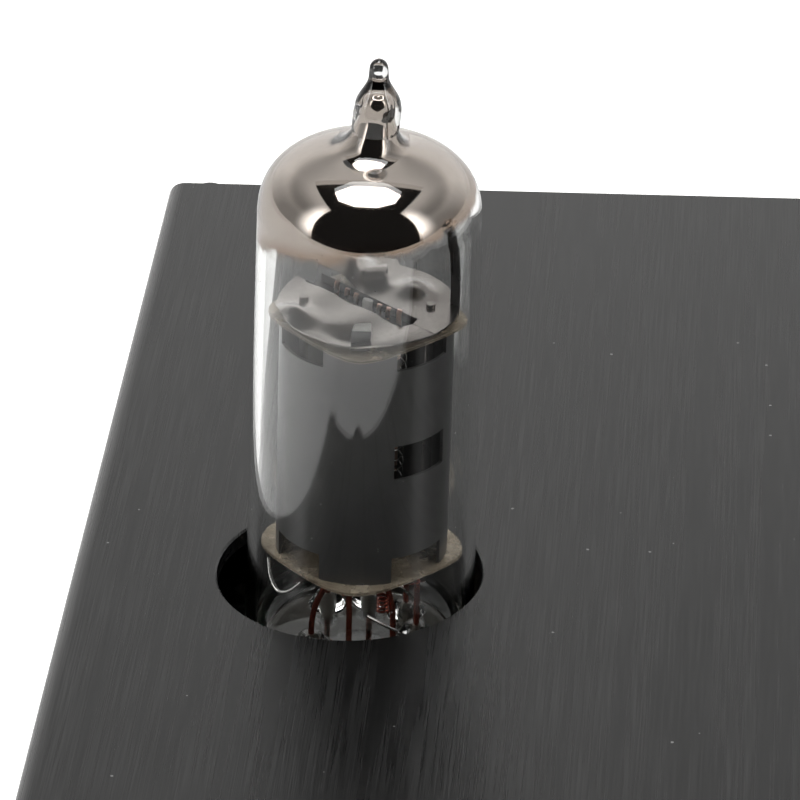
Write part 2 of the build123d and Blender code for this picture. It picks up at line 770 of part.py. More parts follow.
def anode():
    """The blackened sleeve between the micas, with windows and two tabs at each end."""
    with BuildPart() as sleeve:
        with BuildSketch(Plane.XY.offset(anode_bottom)):
            Circle(anode_radius)
            Circle(anode_radius - anode_sheet, mode=Mode.SUBTRACT)
        extrude(amount=anode_top - anode_bottom)
        with BuildSketch(Plane.XY.offset(anode_top - end_window_height)):
            with PolarLocations(anode_radius, 4, start_angle=45):
                Rectangle(4, window_width)
        extrude(amount=end_window_height, mode=Mode.SUBTRACT)
        with BuildSketch(Plane.XY.offset(anode_bottom)):
            with PolarLocations(anode_radius, 4, start_angle=45):
                Rectangle(4, window_width)
        extrude(amount=end_window_height, mode=Mode.SUBTRACT)
        with BuildSketch(Plane.XY.offset(seat_depth + 12.2)):
            with PolarLocations(anode_radius, 2, start_angle=-45):
                Rectangle(4, window_width)
        extrude(amount=window_height, mode=Mode.SUBTRACT)
        with BuildSketch(Plane.XY.offset(lower_mica_z - 0.8)):
            with Locations((0, -anode_radius + anode_sheet / 2), (0, anode_radius - anode_sheet / 2)):
                Rectangle(1.5, anode_sheet - 0.02)
        extrude(amount=1.2)
        with BuildSketch(Plane.XY.offset(anode_top - 0.1)):
            with Locations((0, -anode_radius + anode_sheet / 2), (0, anode_radius - anode_sheet / 2)):
                Rectangle(1.5, anode_sheet - 0.02)
        extrude(amount=2.9)
    return sleeve.part


def cathode():
    """The oxide-coated cathode tube, with its heater inside it."""
    with BuildPart() as tube:
        with BuildSketch(Plane.XY.offset(lower_mica_z - 0.9)):
            Circle(cathode_radius)
            Circle(cathode_radius - 0.12, mode=Mode.SUBTRACT)
        extrude(amount=upper_mica_z - lower_mica_z + 2.9)
        with BuildSketch(Plane.XY.offset(lower_mica_z - 1.6)):
            Circle(0.45)
        extrude(amount=upper_mica_z - lower_mica_z + 2.6)
    return tube.part


def grid_rods():
    """The side rods of the three grids, two each, in one row."""
    with BuildPart() as rods:
        with BuildSketch(Plane.XY.offset(lower_mica_z - 1.2)):
            with Locations(*electrode_places(grid_rod_places)):
                Circle(grid_rod_radius)
        extrude(amount=upper_mica_z - lower_mica_z + 3.4)
    return rods.part


shield_radius = 6.6
shield_sheet = 0.2
slot_half = 0.65


def top_shield():
    """Two half discs above the upper mica, each welded to its long support rod."""
    with BuildPart() as shield:
        with BuildSketch(Plane.XY.offset(shield_z)):
            Circle(shield_radius)
            Rectangle(20, 2 * slot_half, rotation=electrode_turn, mode=Mode.SUBTRACT)
        extrude(amount=shield_sheet)
        with BuildSketch(Plane.XY.offset(lower_mica_z - 0.8)):
            with Locations((-support_rod_x, 0), (support_rod_x, 0)):
                Circle(0.4)
        extrude(amount=shield_z - lower_mica_z + 1.2)
    return shield.part


def getter():
    """The getter ring on its strip, which stands on the upper mica beside the shield."""
    strip_x = 7.1
    ring_z = seat_depth + 33.4
    with BuildPart() as holder:
        with BuildSketch(Plane.XY.offset(upper_mica_z + mica_thickness)):
            with Locations((strip_x, 0.2)):
                Rectangle(0.2, 1.1)
        extrude(amount=ring_z - upper_mica_z - mica_thickness)
        with Locations((strip_x - 2.0, 0.2, ring_z)):
            Torus(1.9, 0.4)
    return holder.part


makers = {
    "glass_bulb": glass_bulb,
    "base_pins": base_pins,
    "lower_mica": lambda: mica(lower_mica_z, 6.9),
    "upper_mica": lambda: mica(upper_mica_z, 6.5),
    "anode": anode,
    "cathode": cathode,
    "grid_rods": grid_rods,
    "top_shield": top_shield,
    "getter": getter,
}
valve_parts = {name: make() for name, make in makers.items()}

for side, (sign, lean, offset) in valves.items():
    axis_at_base = offset - seat_depth * tan(radians(lean))
    seat = (sign * tube_x + axis_at_base, tube_y, panel_top - seat_depth)
    place = Location(seat, (0, lean, 0))
    for name, part in valve_parts.items():
        save(part.moved(place), f"{name}_{side}")
    direction = (sin(radians(lean)), 0, cos(radians(lean)))
    print("valve", side, "seat", seat, "axis", direction)
print("case_y", case_y, "front", front_face - front_reach, "rear", rear_face + rear_reach)
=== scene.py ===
"""Looks of the valve microphone preamplifier: the brushed case, its controls and its glass valves.

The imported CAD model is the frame. Lengths inside the valve section are millimetres, measured
from the middle of each valve's glass base, and become metres where a mesh is made.
"""
import json
import math
from contextlib import contextmanager
from functools import partial, reduce
from math import cos, pi, radians, sin

import bmesh
import bpy
from mathutils import Matrix, Vector, noise


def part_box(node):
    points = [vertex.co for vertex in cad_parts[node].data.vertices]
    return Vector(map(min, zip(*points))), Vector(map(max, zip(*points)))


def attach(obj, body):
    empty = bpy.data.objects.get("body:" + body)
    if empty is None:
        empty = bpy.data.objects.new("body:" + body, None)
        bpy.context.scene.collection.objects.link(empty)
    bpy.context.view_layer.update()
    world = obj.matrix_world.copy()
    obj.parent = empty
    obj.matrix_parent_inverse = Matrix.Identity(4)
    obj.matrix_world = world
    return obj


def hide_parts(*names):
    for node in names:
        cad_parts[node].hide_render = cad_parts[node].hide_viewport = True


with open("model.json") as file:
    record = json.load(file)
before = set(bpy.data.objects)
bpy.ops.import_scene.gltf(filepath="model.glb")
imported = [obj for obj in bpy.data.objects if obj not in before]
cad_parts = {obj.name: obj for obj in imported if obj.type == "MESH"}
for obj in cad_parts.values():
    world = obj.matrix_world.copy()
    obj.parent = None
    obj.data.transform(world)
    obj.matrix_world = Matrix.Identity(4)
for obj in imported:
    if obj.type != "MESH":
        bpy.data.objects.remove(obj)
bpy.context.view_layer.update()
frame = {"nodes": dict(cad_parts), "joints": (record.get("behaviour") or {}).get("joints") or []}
MM = 0.001

# ---- Places read from the frame
shell_low, shell_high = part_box("top_shell")
front_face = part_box("front_panel")[0].y
rear_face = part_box("rear_panel")[1].y
panel_top = shell_high.z
SIDES = ("left", "right")
joints = {joint["name"]: joint for joint in frame["joints"]}

# ---- Valve dimensions, millimetres
TUBE_X, TUBE_FROM_REAR, SEAT_DEPTH = 36.9, 70.1, 7.5
AXIS_OFFSET = {"left": 0.90, "right": -0.30}
BASE_FLAT, BASE_RADIUS, BASE_RISE = 6.9, 9.53, 2.6
SHOULDER_RADIUS, SHOULDER_Z = 8.958, 40.33
DOME_START = 40.118
GLASS_WALL = 0.8
BUTTON_TOP, BEAD_RISE = 2.0, 1.3
PIN_CIRCLE, PIN_RADIUS, PIN_LENGTH = 9.525 / 2, 0.51, 6.5
PIN_ANGLES = [radians(-141 + 45 * k) for k in range(7)]
LOWER_MICA, UPPER_MICA, MICA_SHEET = SEAT_DEPTH + 2.7, SEAT_DEPTH + 24.0, 0.3
LOWER_SPAN, UPPER_SPAN = (7.15, 8.42), (6.6, 8.24)  # half width, reach of the corners
ANODE_RADIUS, ANODE_SHEET = 7.05, 0.25
FOOT_WINDOW, HEAD_WINDOW, WINDOW_HALF = 2.3, 1.4, 21  # heights, and half the width in degrees
BELT_LOW, BELT_HIGH = SEAT_DEPTH + 12.6, SEAT_DEPTH + 15.7
SHIELD_Z, SHIELD_RADIUS = SEAT_DEPTH + 25.2, 7.35
ROW_ANGLE, SLOT_HALF, SLOT_END = radians(-40), 0.92, 4.7
ROD_ENDS = ((-3.5, 0.62), (-2.3, 0.38), (-1.3, 0.30), (1.3, 0.34), (2.3, 0.42), (3.5, 0.70))
FILM_MIDDLE, FILM_TILT = 40.75, 0.213
GLASS_SEGMENTS = 160


# ======== Meshes ========
def added(name, data):
    """A new object of the data, in the scene."""
    obj = bpy.data.objects.new(name, data)
    bpy.context.scene.collection.objects.link(obj)
    return obj


@contextmanager
def edited(mesh):
    """The mesh opened for editing, and written back after the block."""
    shell = bmesh.new()
    shell.from_mesh(mesh)
    yield shell
    shell.to_mesh(mesh)
    shell.free()


def delete_loose(shell):
    """Deletes the points that no face uses."""
    loose = [point for point in shell.verts if not point.link_faces]
    bmesh.ops.delete(shell, geom=loose, context="VERTS")


def mesh_object(name, verts, faces, look, smooth=True, turn=True):
    """A mesh object from points in metres, its faces turned outwards if they aren't yet."""
    mesh = bpy.data.meshes.new(name)
    mesh.from_pydata([tuple(v) for v in verts], [], faces)
    if turn:
        with edited(mesh) as shell:
            bmesh.ops.recalc_face_normals(shell, faces=shell.faces)
    mesh.polygons.foreach_set("use_smooth", [smooth] * len(mesh.polygons))
    mesh.materials.append(look)
    return added(name, mesh)


def sharpen(obj, degrees=35):
    """Smooth shading that stays sharp over edges steeper than the angle."""
    obj.data.polygons.foreach_set("use_smooth", [True] * len(obj.data.polygons))
    obj.data.set_sharp_from_angle(angle=radians(degrees))


def bevelled(obj, width):
    bevel = obj.modifiers.new("edges", "BEVEL")
    bevel.width, bevel.segments = width, 2
    bevel.limit_method, bevel.angle_limit = "ANGLE", radians(40)
    return obj


def grid_faces(rows, columns, wrap=True):
    """The quads of a grid of points stored row by row."""
    quads = []
    for r in range(rows - 1):
        for c in range(columns if wrap else columns - 1):
            here, beside = r * columns + c, r * columns + (c + 1) % columns
            quads.append((here, beside, beside + columns, here + columns))
    return quads


def revolved(profile, segments, shift=None):
    """Points and faces of a profile of (radius, height) turned round Z, closed at its ends."""
    inner = profile[1:-1] if profile[0][0] == 0 and profile[-1][0] == 0 else profile
    points = []
    for radius, height in inner:
        for k in range(segments):
            a = 2 * pi * k / segments
            x, y = radius * cos(a), radius * sin(a)
            level = Vector((x, y, height + (shift(x, y, height) if shift else 0)))
            points.append(tuple(level + off_centre(height)))
    faces = grid_faces(len(inner), segments)
    if inner is not profile:
        first, last = len(points), len(points) + 1
        top, rim = profile[-1][1], (len(inner) - 1) * segments
        points += [(0, 0, profile[0][1]), tuple(Vector((0, 0, top)) + off_centre(top))]
        for k in range(segments):
            n = (k + 1) % segments
            faces += [(first, n, k), (last, rim + k, rim + n)]
    return points, faces


def through(points, steps=6):
    """A smooth line through a few points, as Catmull-Rom spans."""
    padded = [points[0]] + list(points) + [points[-1]]
    line = []
    for a, b, c, d in zip(padded, padded[1:], padded[2:], padded[3:]):
        for s in range(steps):
            t = s / steps
            line.append(tuple(
                0.5 * (2 * q + (r - p) * t + (2 * p - 5 * q + 4 * r - u) * t**2
                       + (3 * q - p - 3 * r + u) * t**3)
                for p, q, r, u in zip(a, b, c, d)
            ))
    return line + [tuple(points[-1])]


def wires(name, lines, radius, look, place, resolution):
    """Round wires along smooth lines of points in millimetres."""
    curve = bpy.data.curves.new(name, "CURVE")
    curve.dimensions = "3D"
    curve.bevel_depth = radius * MM
    curve.bevel_resolution = resolution
    curve.use_fill_caps = True
    for line in lines:
        spline = curve.splines.new("POLY")
        spline.points.add(len(line) - 1)
        for point, xyz in zip(spline.points, line):
            point.co = (*(place @ (Vector(xyz) * MM)), 1)
    curve.materials.append(look)
    return added(name, curve)


def piece(obj, body, slot, *replaced):
    """Every piece rides on a body and may stand for CAD nodes, which are hidden; slot, its finish,
    is not used.
    """
    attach(obj, body)
    if replaced:
        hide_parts(*replaced)


# ======== Materials ========
class Look:
    """A procedural material: one Principled shader and short calls that add nodes to it."""

    def __init__(self, name, **sockets):
        self.material = bpy.data.materials.new(name)
        self.material.use_nodes = True
        self.tree = self.material.node_tree
        self.shader = self.tree.nodes["Principled BSDF"]
        self.output = self.tree.nodes["Material Output"]
        for socket, value in sockets.items():
            self.shader.inputs[socket.replace("_", " ")].default_value = value

    def node(self, kind, inputs=None, **settings):
        made = self.tree.nodes.new("ShaderNode" + kind)
        for key, value in settings.items():
            setattr(made, key, value)
        for key, value in (inputs or {}).items():
            if isinstance(value, bpy.types.NodeSocket):
                self.tree.links.new(value, made.inputs[key])
            else:
                made.inputs[key].default_value = value
        return made

    def place(self, scale=(1, 1, 1)):
        """The point being shaded, in metres of the frame, stretched by scale."""
        where = self.node("TexCoord").outputs["Object"]
        return self.node("Mapping", {"Vector": where, "Scale": scale}).outputs["Vector"]

    def noise(self, scale, detail=3.0, stretch=(1, 1, 1), rough=0.55):
        return self.node("TexNoise", {
            "Vector": self.place(stretch), "Scale": scale, "Detail": detail, "Roughness": rough,
        }).outputs["Fac"]

    def ranged(self, value, low, high, out_low, out_high, kind="LINEAR"):
        inputs = {0: value, 1: low, 2: high, 3: out_low, 4: out_high}
        return self.node("MapRange", inputs, interpolation_type=kind).outputs[0]

    def spread(self, noise, low, high):
        """A noise lies almost wholly between 0.3 and 0.7: this takes that to low and high."""
        return self.ranged(noise, 0.3, 0.7, low, high)

    def eased(self, *limits):
        return self.ranged(*limits, "SMOOTHSTEP")

    def math(self, operation, a, b=0.0):
        return self.node("Math", {0: a, 1: b}, operation=operation).outputs[0]

    def times(self, *values):
        return reduce(partial(self.math, "MULTIPLY"), values)

    def most(self, *values):
        return reduce(partial(self.math, "MAXIMUM"), values)

    def plus(self, *values):
        return reduce(partial(self.math, "ADD"), values)

    def minus(self, a, b):
        return self.math("SUBTRACT", a, b)

    def over(self, a, b):
        return self.math("DIVIDE", a, b)

    def along(self, axis):
        """How far the shaded point lies along an axis of the frame."""
        return self.node("SeparateXYZ", {0: self.place()}).outputs["XYZ".index(axis)]

    def specks(self, scale, kept, grain, smallest, largest):
        """Dots of many sizes in the cells whose random share is past the two limits kept."""
        cells = self.node("TexVoronoi", {"Vector": self.place(), "Scale": scale})
        share = self.node("SeparateColor", {0: cells.outputs["Color"]}).outputs[0]
        size = self.spread(self.noise(grain, 1.0), smallest, largest)
        dot = self.math("LESS_THAN", cells.outputs["Distance"], size)
        return self.times(dot, self.ranged(share, *kept, 0, 1))

    def mix(self, factor, a, b):
        made = self.node("Mix", data_type="RGBA")
        for key, value in (("Factor", factor), ("A", a), ("B", b)):
            # A Mix node has one set of sockets for each data type: the last are for colour.
            socket = [s for s in made.inputs if s.name == key and s.enabled][0]
            if isinstance(value, bpy.types.NodeSocket):
                self.tree.links.new(value, socket)
            else:
                socket.default_value = value
        return [s for s in made.outputs if s.enabled][0]

    def set(self, socket, value):
        self.tree.links.new(value, self.shader.inputs[socket])

    def shade(self, share, first, second):
        """Mixes two shaders for the surface."""
        both = self.node("MixShader", {0: share, 1: first.outputs[0], 2: second.outputs[0]})
        self.tree.links.new(both.outputs[0], self.output.inputs["Surface"])
        return both

    def bump(self, height, distance, strength=1.0):
        inputs = {"Height": height, "Distance": distance, "Strength": strength}
        bump = self.node("Bump", inputs)
        current = self.shader.inputs["Normal"].links
        if current:
            self.tree.links.new(current[0].from_socket, bump.inputs["Normal"])
        self.set("Normal", bump.outputs["Normal"])

    def rounded(self, radius):
        """Softens the edges that light catches."""
        soft = self.node("Bevel", {"Radius": radius}, samples=4)
        self.set("Normal", soft.outputs["Normal"])


def grey(value):
    return (value, value, value, 1.0)


def brushed_black(name, along):
    """Black anodised aluminium with brush lines along one axis, a painted sheen on the lines, and
    specks of dust.
    """
    look = Look(name, Specular_IOR_Level=0.385)
    black = 0.003
    fine = tuple(95 if axis == along else 7600 for axis in "xyz")
    wide = tuple(7 if axis == along else 620 for axis in "xyz")
    thin, broad = look.noise(1.0, 3.0, fine, 0.5), look.noise(1.0, 4.0, wide, 0.5)
    cloud = look.noise(38)
    body = look.mix(look.spread(cloud, 0, 1), grey(black * 0.85), grey(black * 1.2))
    # Lighter streaks where the fine and broad brush lines meet: a painted sheen, the light the
    # grooves catch, put into the colour.
    line_sheen = look.times(
        look.ranged(thin, 0.44, 0.66, 0, 0.9), look.ranged(broad, 0.35, 0.65, 0.35, 1))
    body = look.mix(line_sheen, body, grey(black * 6.5))
    dust = look.specks(420.0, (0.60, 0.61), 900, 0.02, 0.075)
    look.set("Base Color", look.mix(look.times(dust, 0.7), body, grey(0.22)))
    streak = look.times(look.spread(broad, 0, 1), look.ranged(thin, 0.3, 0.75, 0.35, 1.0))
    rough = look.ranged(streak, 0, 1, 0.23, 0.37)
    look.set("Roughness", look.plus(rough, look.spread(cloud, -0.03, 0.03)))
    look.bump(thin, 0.000024, 0.8)
    look.bump(broad, 0.00005, 0.5)
    return look.material


def clear_glass(name):
    """Clear blown glass that lets lamp light through, with drawn lines, smears and dust."""
    look = Look(name, Base_Color=(0.985, 0.992, 0.988, 1.0), IOR=1.49, Transmission_Weight=1.0)
    look.bump(look.noise(1.0, 2.0, (260, 260, 9)), 0.000012, 0.35)
    look.set("Roughness", look.ranged(look.noise(130, 4.0), 0.56, 0.78, 0.0, 0.03))
    dusty = look.times(look.specks(1100.0, (0.86, 0.8601), 700, 0.03, 0.10), 0.45)
    glass = look.shade(dusty, look.shader, look.node("BsdfDiffuse", {"Color": grey(0.5)}))
    shadow = look.node("LightPath").outputs["Is Shadow Ray"]
    look.shade(shadow, glass, look.node("BsdfTransparent", {"Color": (0.93, 0.95, 0.94, 1)}))
    return look.material


def getter_film(name):
    """The brown-silver mirror inside the dome, thinning to nothing along its lower edge."""
    look = Look(name, Metallic=1.0)
    cloud = look.noise(160)
    edge = look.node("Attribute", attribute_name="edge").outputs["Fac"]
    cloud = look.ranged(cloud, 0.35, 0.7, 0, 1)
    silver = look.mix(cloud, (0.36, 0.315, 0.28, 1), (0.39, 0.345, 0.31, 1))
    thick = look.eased(edge, 0.05, 0.35, 0, 1)
    look.set("Base Color", look.mix(thick, (0.24, 0.17, 0.125, 1), silver))
    specks = look.node("TexVoronoi", {"Vector": look.place(), "Scale": 1500.0}).outputs["Distance"]
    look.set("Roughness", look.ranged(specks, 0.0, 0.12, 0.16, 0.035))
    ragged = look.plus(edge, look.spread(look.noise(900), -0.03, 0.03))
    look.set("Alpha", look.eased(ragged, 0.03, 0.15, 0.0, 1.0))
    return look.material


def metal(name, colour, roughness, grain=900, metallic=1.0, bump=0.000004, edge=0.0,
          stretch=(1, 1, 1)):
    """A plain metal with a fine grain, cloudy wear and, if asked, softened edges."""
    look = Look(name, Metallic=metallic)
    if edge:
        look.rounded(edge)
    cloud, fine = look.noise(grain * 0.12, 4.0, stretch), look.noise(grain, 4.0, stretch)
    darker = tuple(c * 0.78 for c in colour[:3]) + (1.0,)
    look.set("Base Color", look.mix(look.ranged(cloud, 0.32, 0.68, 0, 1), colour, darker))
    look.set("Roughness", look.spread(cloud, roughness * 0.75, min(1.0, roughness * 1.3)))
    look.bump(fine, bump, 0.6)
    return look.material


def moulded(name, colour, roughness=0.45, grain=1600, edge=0.0, bump=0.00001):
    """Moulded plastic or rubber: an even colour broken by a fine texture and some wear."""
    look = Look(name)
    if edge:
        look.rounded(edge)
    cloud, fine = look.noise(90, 4.0), look.noise(grain, 2.0)
    lighter = tuple(min(1, c * 1.35 + 0.004) for c in colour[:3]) + (1.0,)
    look.set("Base Color", look.mix(look.ranged(cloud, 0.3, 0.72, 0, 1), colour, lighter))
    look.set("Roughness", look.spread(cloud, roughness * 0.85, min(1, roughness * 1.2)))
    look.bump(fine, bump, 0.5)
    return look.material


def mica_sheet(name):
    """Split mica: a thin tan sheet, half clear, with flaky layers."""
    look = Look(name, Roughness=0.22, IOR=1.56, Specular_IOR_Level=0.6)
    flakes = look.noise(520, 5.0, (1, 1, 3.5), 0.7)
    tone = look.mix(look.spread(flakes, 0, 1), (0.34, 0.27, 0.205, 1), (0.62, 0.53, 0.43, 1))
    look.set("Base Color", tone)
    look.bump(flakes, 0.00002, 0.5)
    clear = look.node("BsdfTransparent", {"Color": (0.80, 0.78, 0.74, 1)})
    look.shade(look.spread(flakes, 0.22, 0.52), clear, look.shader)
    return look.material


def two_tone(name, axis, split, below, above, roughness=(0.5, 0.25)):
    """A dull finish, and past a place along an axis a metal one."""
    look = Look(name)
    share = look.math("GREATER_THAN", look.along(axis), split)
    look.set("Base Color", look.mix(share, below, above))
    look.set("Metallic", share)
    cloud = look.spread(look.noise(300, 4.0), -0.05, 0.08)
    look.set("Roughness", look.plus(look.ranged(share, 0, 1, *roughness), cloud))
    look.bump(look.noise(1300, 2.0), 0.000008, 0.5)
    return look.material


def circuit_board(name):
    """Green solder mask over copper tracks."""
    look = Look(name, Coat_Weight=0.4, Coat_Roughness=0.2)
    white, black = grey(1.0), grey(0.0)
    line = look.node("TexBrick", {
        "Vector": look.place(), "Scale": 140.0, "Mortar Size": 0.03,
        "Color1": white, "Color2": white, "Mortar": black,
    }).outputs["Fac"]
    look.set("Base Color", look.mix(line, (0.006, 0.055, 0.022, 1), (0.012, 0.10, 0.04, 1)))
    look.set("Roughness", look.spread(look.noise(300), 0.28, 0.42))
    look.bump(line, 0.00003, 0.6)
    return look.material


def lamp_lens(name):
    """Frosted lens of an indicator lamp; the middle one is lit."""
    look = Look(name, Roughness=0.18, IOR=1.5, Coat_Weight=0.6, Emission_Strength=0.9)
    middle = 0.002
    lit = look.math("LESS_THAN", look.math("ABSOLUTE", look.along("X")), middle)
    cloud = look.noise(700)
    body = look.mix(look.spread(cloud, 0, 1), (0.42, 0.40, 0.37, 1), (0.50, 0.48, 0.45, 1))
    look.set("Base Color", look.mix(lit, body, (0.95, 0.30, 0.05, 1)))
    look.set("Emission Color", look.mix(lit, grey(0.0), (1.0, 0.32, 0.05, 1)))
    look.bump(cloud, 0.000006, 0.4)
    return look.material


SLEEVE_TOP = 0.0247
black_oxide = metal("black_oxide_steel", grey(0.035), 0.38, metallic=0.6, edge=0.00012)
dark_plastic = moulded("moulded_black", grey(0.017), 0.5, edge=0.0002)
gloss_black = moulded("polished_black", grey(0.012), 0.16, 700, edge=0.0003, bump=0.000003)

for nodes, look in (
    ("top_shell bottom_shell", brushed_black("anodised_brushed_lengthwise", "y")),
    ("front_panel rear_panel", brushed_black("anodised_brushed_crosswise", "x")),
    ("end_plate_screws xlr_screws", black_oxide),
    ("rubber_feet", moulded("foot_rubber", grey(0.018), 0.75, 2200, edge=0.0003, bump=0.00003)),
    ("main_board tube_board", circuit_board("solder_mask")),
    ("board_standoffs", metal("nickelled_brass", (0.62, 0.56, 0.42, 1), 0.28)),
    ("board_screws", metal("zinc_plate", (0.58, 0.58, 0.56, 1), 0.3, edge=0.0001)),
    ("tube_sockets", moulded("socket_phenolic", (0.022, 0.017, 0.014, 1), 0.5, 2600,
                             edge=0.0002, bump=0.00002)),
    ("socket_contacts", metal("tinned_contact", (0.70, 0.69, 0.66, 1), 0.24)),
    ("electrolytic_capacitors", two_tone(
        "capacitor_sleeve", "Z", SLEEVE_TOP, (0.012, 0.016, 0.04, 1), (0.62, 0.62, 0.60, 1),
        roughness=(0.3, 0.35))),
    ("film_capacitors", moulded("film_capacitor_epoxy", (0.20, 0.022, 0.012, 1), 0.25, 700,
                                edge=0.0004)),
    ("opamp_chips", moulded("chip_epoxy", grey(0.015), 0.6, 3000)),
    ("power_inductor", moulded("ferrite", grey(0.05), 0.7, 2000, bump=0.00003)),
    ("regulator_heatsink", metal("mill_aluminium", (0.62, 0.63, 0.64, 1), 0.35)),
    ("resistors", moulded("resistor_lacquer", (0.10, 0.24, 0.42, 1), 0.35, 900)),
    ("gain_pots", metal("tinned_steel", (0.55, 0.54, 0.51, 1), 0.32, edge=0.00015)),
    ("pot_nuts jack_nuts", metal("nickel_plate", (0.66, 0.63, 0.58, 1), 0.16, edge=0.00015)),
    ("gain_shaft_left gain_shaft_right",
     metal("turned_steel", (0.55, 0.55, 0.54, 1), 0.22, grain=1500, stretch=(1, 8, 1))),
    ("switch_bodies xlr_inserts dc_jack rocker_frame", dark_plastic),
    ("indicator_leds", lamp_lens("indicator_lens")),
    ("pad_button_left pad_button_right phantom_button_left phantom_button_right power_rocker",
     gloss_black),
    ("xlr_shells", moulded("xlr_black_zinc", grey(0.02), 0.42, 1900, edge=0.0003, bump=0.00002)),
    ("xlr_contacts", metal("gold_contact", (0.80, 0.56, 0.22, 1), 0.2)),
    ("xlr_latch_left xlr_latch_right",
     metal("satin_nickel", (0.60, 0.59, 0.57, 1), 0.3, edge=0.0002)),
    ("output_jacks", two_tone("jack_socket", "Y", rear_face + 0.0001, grey(0.02),
                              (0.60, 0.58, 0.54, 1))),
):
    for node in nodes.split():
        cad = frame["nodes"][node]
        cad.data.materials.clear()
        cad.data.materials.append(look)
        sharpen(cad)

# Looks of the valves, and of the white marks on the front
glass_look = clear_glass("valve_glass")
film_look = getter_film("getter_mirror")
mica_look = mica_sheet("mica")
anode_look = metal("anode_nickel", (0.125, 0.122, 0.122, 1), 0.42, 700, 0.75, bump=0.00001)
sleeve_inside = metal("carbonised_nickel", grey(0.010), 0.7, 700, 0.0, bump=0.00001)
slot_dark = metal("slot_shadow", (0.030, 0.024, 0.022, 1), 0.5, 800, 0.2)
bright_nickel = metal("shield_nickel", (0.30, 0.275, 0.26, 1), 0.22, 600, bump=0.00001)
# Nearly white: a painted highlight on the bent-over tab ends.
crimp_highlight = metal("crimp_painted_highlight", (0.80, 0.78, 0.75, 1), 0.3, 2600, 0.35, bump=0.00006)
pin_look = metal("pin_alloy", (0.50, 0.48, 0.44, 1), 0.28, edge=0.00008)
copper_red = metal("oxidised_copper_lead", (0.34, 0.085, 0.055, 1), 0.22, 1400, 0.85)
bright_wire = metal("bright_wire", (0.80, 0.79, 0.77, 1), 0.14)
oxide_white = moulded("cathode_oxide", (0.46, 0.45, 0.43, 1), 0.8, 3000, bump=0.00003)
rod_copper = metal("grid_rod", (0.42, 0.25, 0.19, 1), 0.26, 1400)
dark_strip = metal("getter_strip", (0.12, 0.115, 0.115, 1), 0.3)
inlay = moulded("white_inlay", (0.62, 0.62, 0.60, 1), 0.5, 2400)


# ======== Valves ========
def valve_place(side):
    """From the middle of the glass base to the frame, leaning as the valve does in its socket."""
    sign = -1 if side == "left" else 1
    axis = Vector(joints[f"valve_pull_{side}"]["axis"]).normalized()
    lean = math.atan2(axis.x, axis.z)
    base_x = sign * TUBE_X + AXIS_OFFSET[side] - SEAT_DEPTH * math.tan(lean)
    base = Vector((base_x * MM, shell_high.y - TUBE_FROM_REAR * MM, panel_top - SEAT_DEPTH * MM))
    return Matrix.Translation(base) @ Matrix.Rotation(lean, 4, "Y")


def wall_radius(z):
    """The glass wall narrows a little upwards."""
    taper = (SHOULDER_RADIUS - BASE_RADIUS) / (SHOULDER_Z - BASE_RISE)
    return BASE_RADIUS + taper * (z - BASE_RISE)


def outer_dome():
    """The rounded dome, flared up into the tip: radius and height pairs."""
    radius, height, power, steps = wall_radius(DOME_START), 6.377, 2.6, 90
    rise, spread, stop = 1.5, 0.7, 1.9
    line = [radius * cos(pi / 2 * (k / steps) ** 0.9) ** (2 / power) for k in range(1, steps)]
    line = [r for r in line if r > stop]
    last = line[-1]
    line += [last + (stop - last) * k / 24 for k in range(1, 25)]
    return [(r, DOME_START + height * (1 - (r / radius) ** power) ** (1 / power)
             + rise * math.exp((stop - r) / spread)) for r in line]


def glass_outside():
    """The envelope's outer line, from the middle of its base to its pinched-off tip."""
    turn = [(BASE_FLAT + (BASE_RADIUS - BASE_FLAT) * sin(a), BASE_RISE * (1 - cos(a)))
            for a in (pi / 2 * k / 12 for k in range(13))]
    wall = [(wall_radius(z), z)
            for z in (BASE_RISE + (DOME_START - BASE_RISE) * k / 12 for k in range(1, 13))]
    dome = outer_dome()
    tip = through([dome[-4], dome[-1], (1.92, 49.0), (1.91, 49.6), (1.86, 50.1), (1.73, 50.7),
                   (1.42, 51.3), (1.06, 51.9), (0.85, 52.4), (0.79, 52.9), (0.76, 53.3)], 5)[6:]
    ball = [(0.76 * cos(a), 53.3 + 0.85 * sin(a)) for a in (pi / 2 * k / 9 for k in range(1, 9))]
    return [(0, 0), (2.5, 0), (5.0, 0)] + turn + wall + dome + tip + ball + [(0, 54.15)]


def glass_inside():
    """The inner surface, from the middle of the button to the top of the cavity in the tip."""
    floor = [(k * 0.24, BUTTON_TOP) for k in range(1, 30)]
    bend, lift, tip_radius = 1.45, 1.9, 0.95
    bend_r, bend_z = BASE_RADIUS - GLASS_WALL - bend, BUTTON_TOP + lift
    turn = [(bend_r + bend * sin(a), bend_z - lift * cos(a))
            for a in (pi / 2 * k / 8 for k in range(9))]
    outer = outer_dome()
    dome = []
    for before, here, after in zip(outer, outer[1:], outer[2:]):
        along = Vector((after[0] - before[0], after[1] - before[1])).normalized()
        point = (here[0] - GLASS_WALL * along.y, here[1] + GLASS_WALL * along.x)
        if point[0] > tip_radius:
            dome.append(point)
    foot, (top_r, top_z) = bend_r + bend, dome[0]
    wall = [(foot + (top_r - foot) * t, bend_z + (top_z - bend_z) * t)
            for t in (k / 24 for k in range(1, 24))]
    tip = through([dome[-4], dome[-1], (0.90, 48.9), (0.88, 49.5), (0.86, 50.0), (0.79, 50.4),
                   (0.62, 50.75), (0.33, 50.98)], 5)[6:]
    return [(0, BUTTON_TOP)] + floor + turn + wall + dome + tip + [(0, 51.05)]


def off_centre(height):
    """The tip was pinched off a little to one side of the dome's middle."""
    return Vector((0.45 * min(1, max(0, (height - 46) / 4)) ** 0.8, 0, 0))


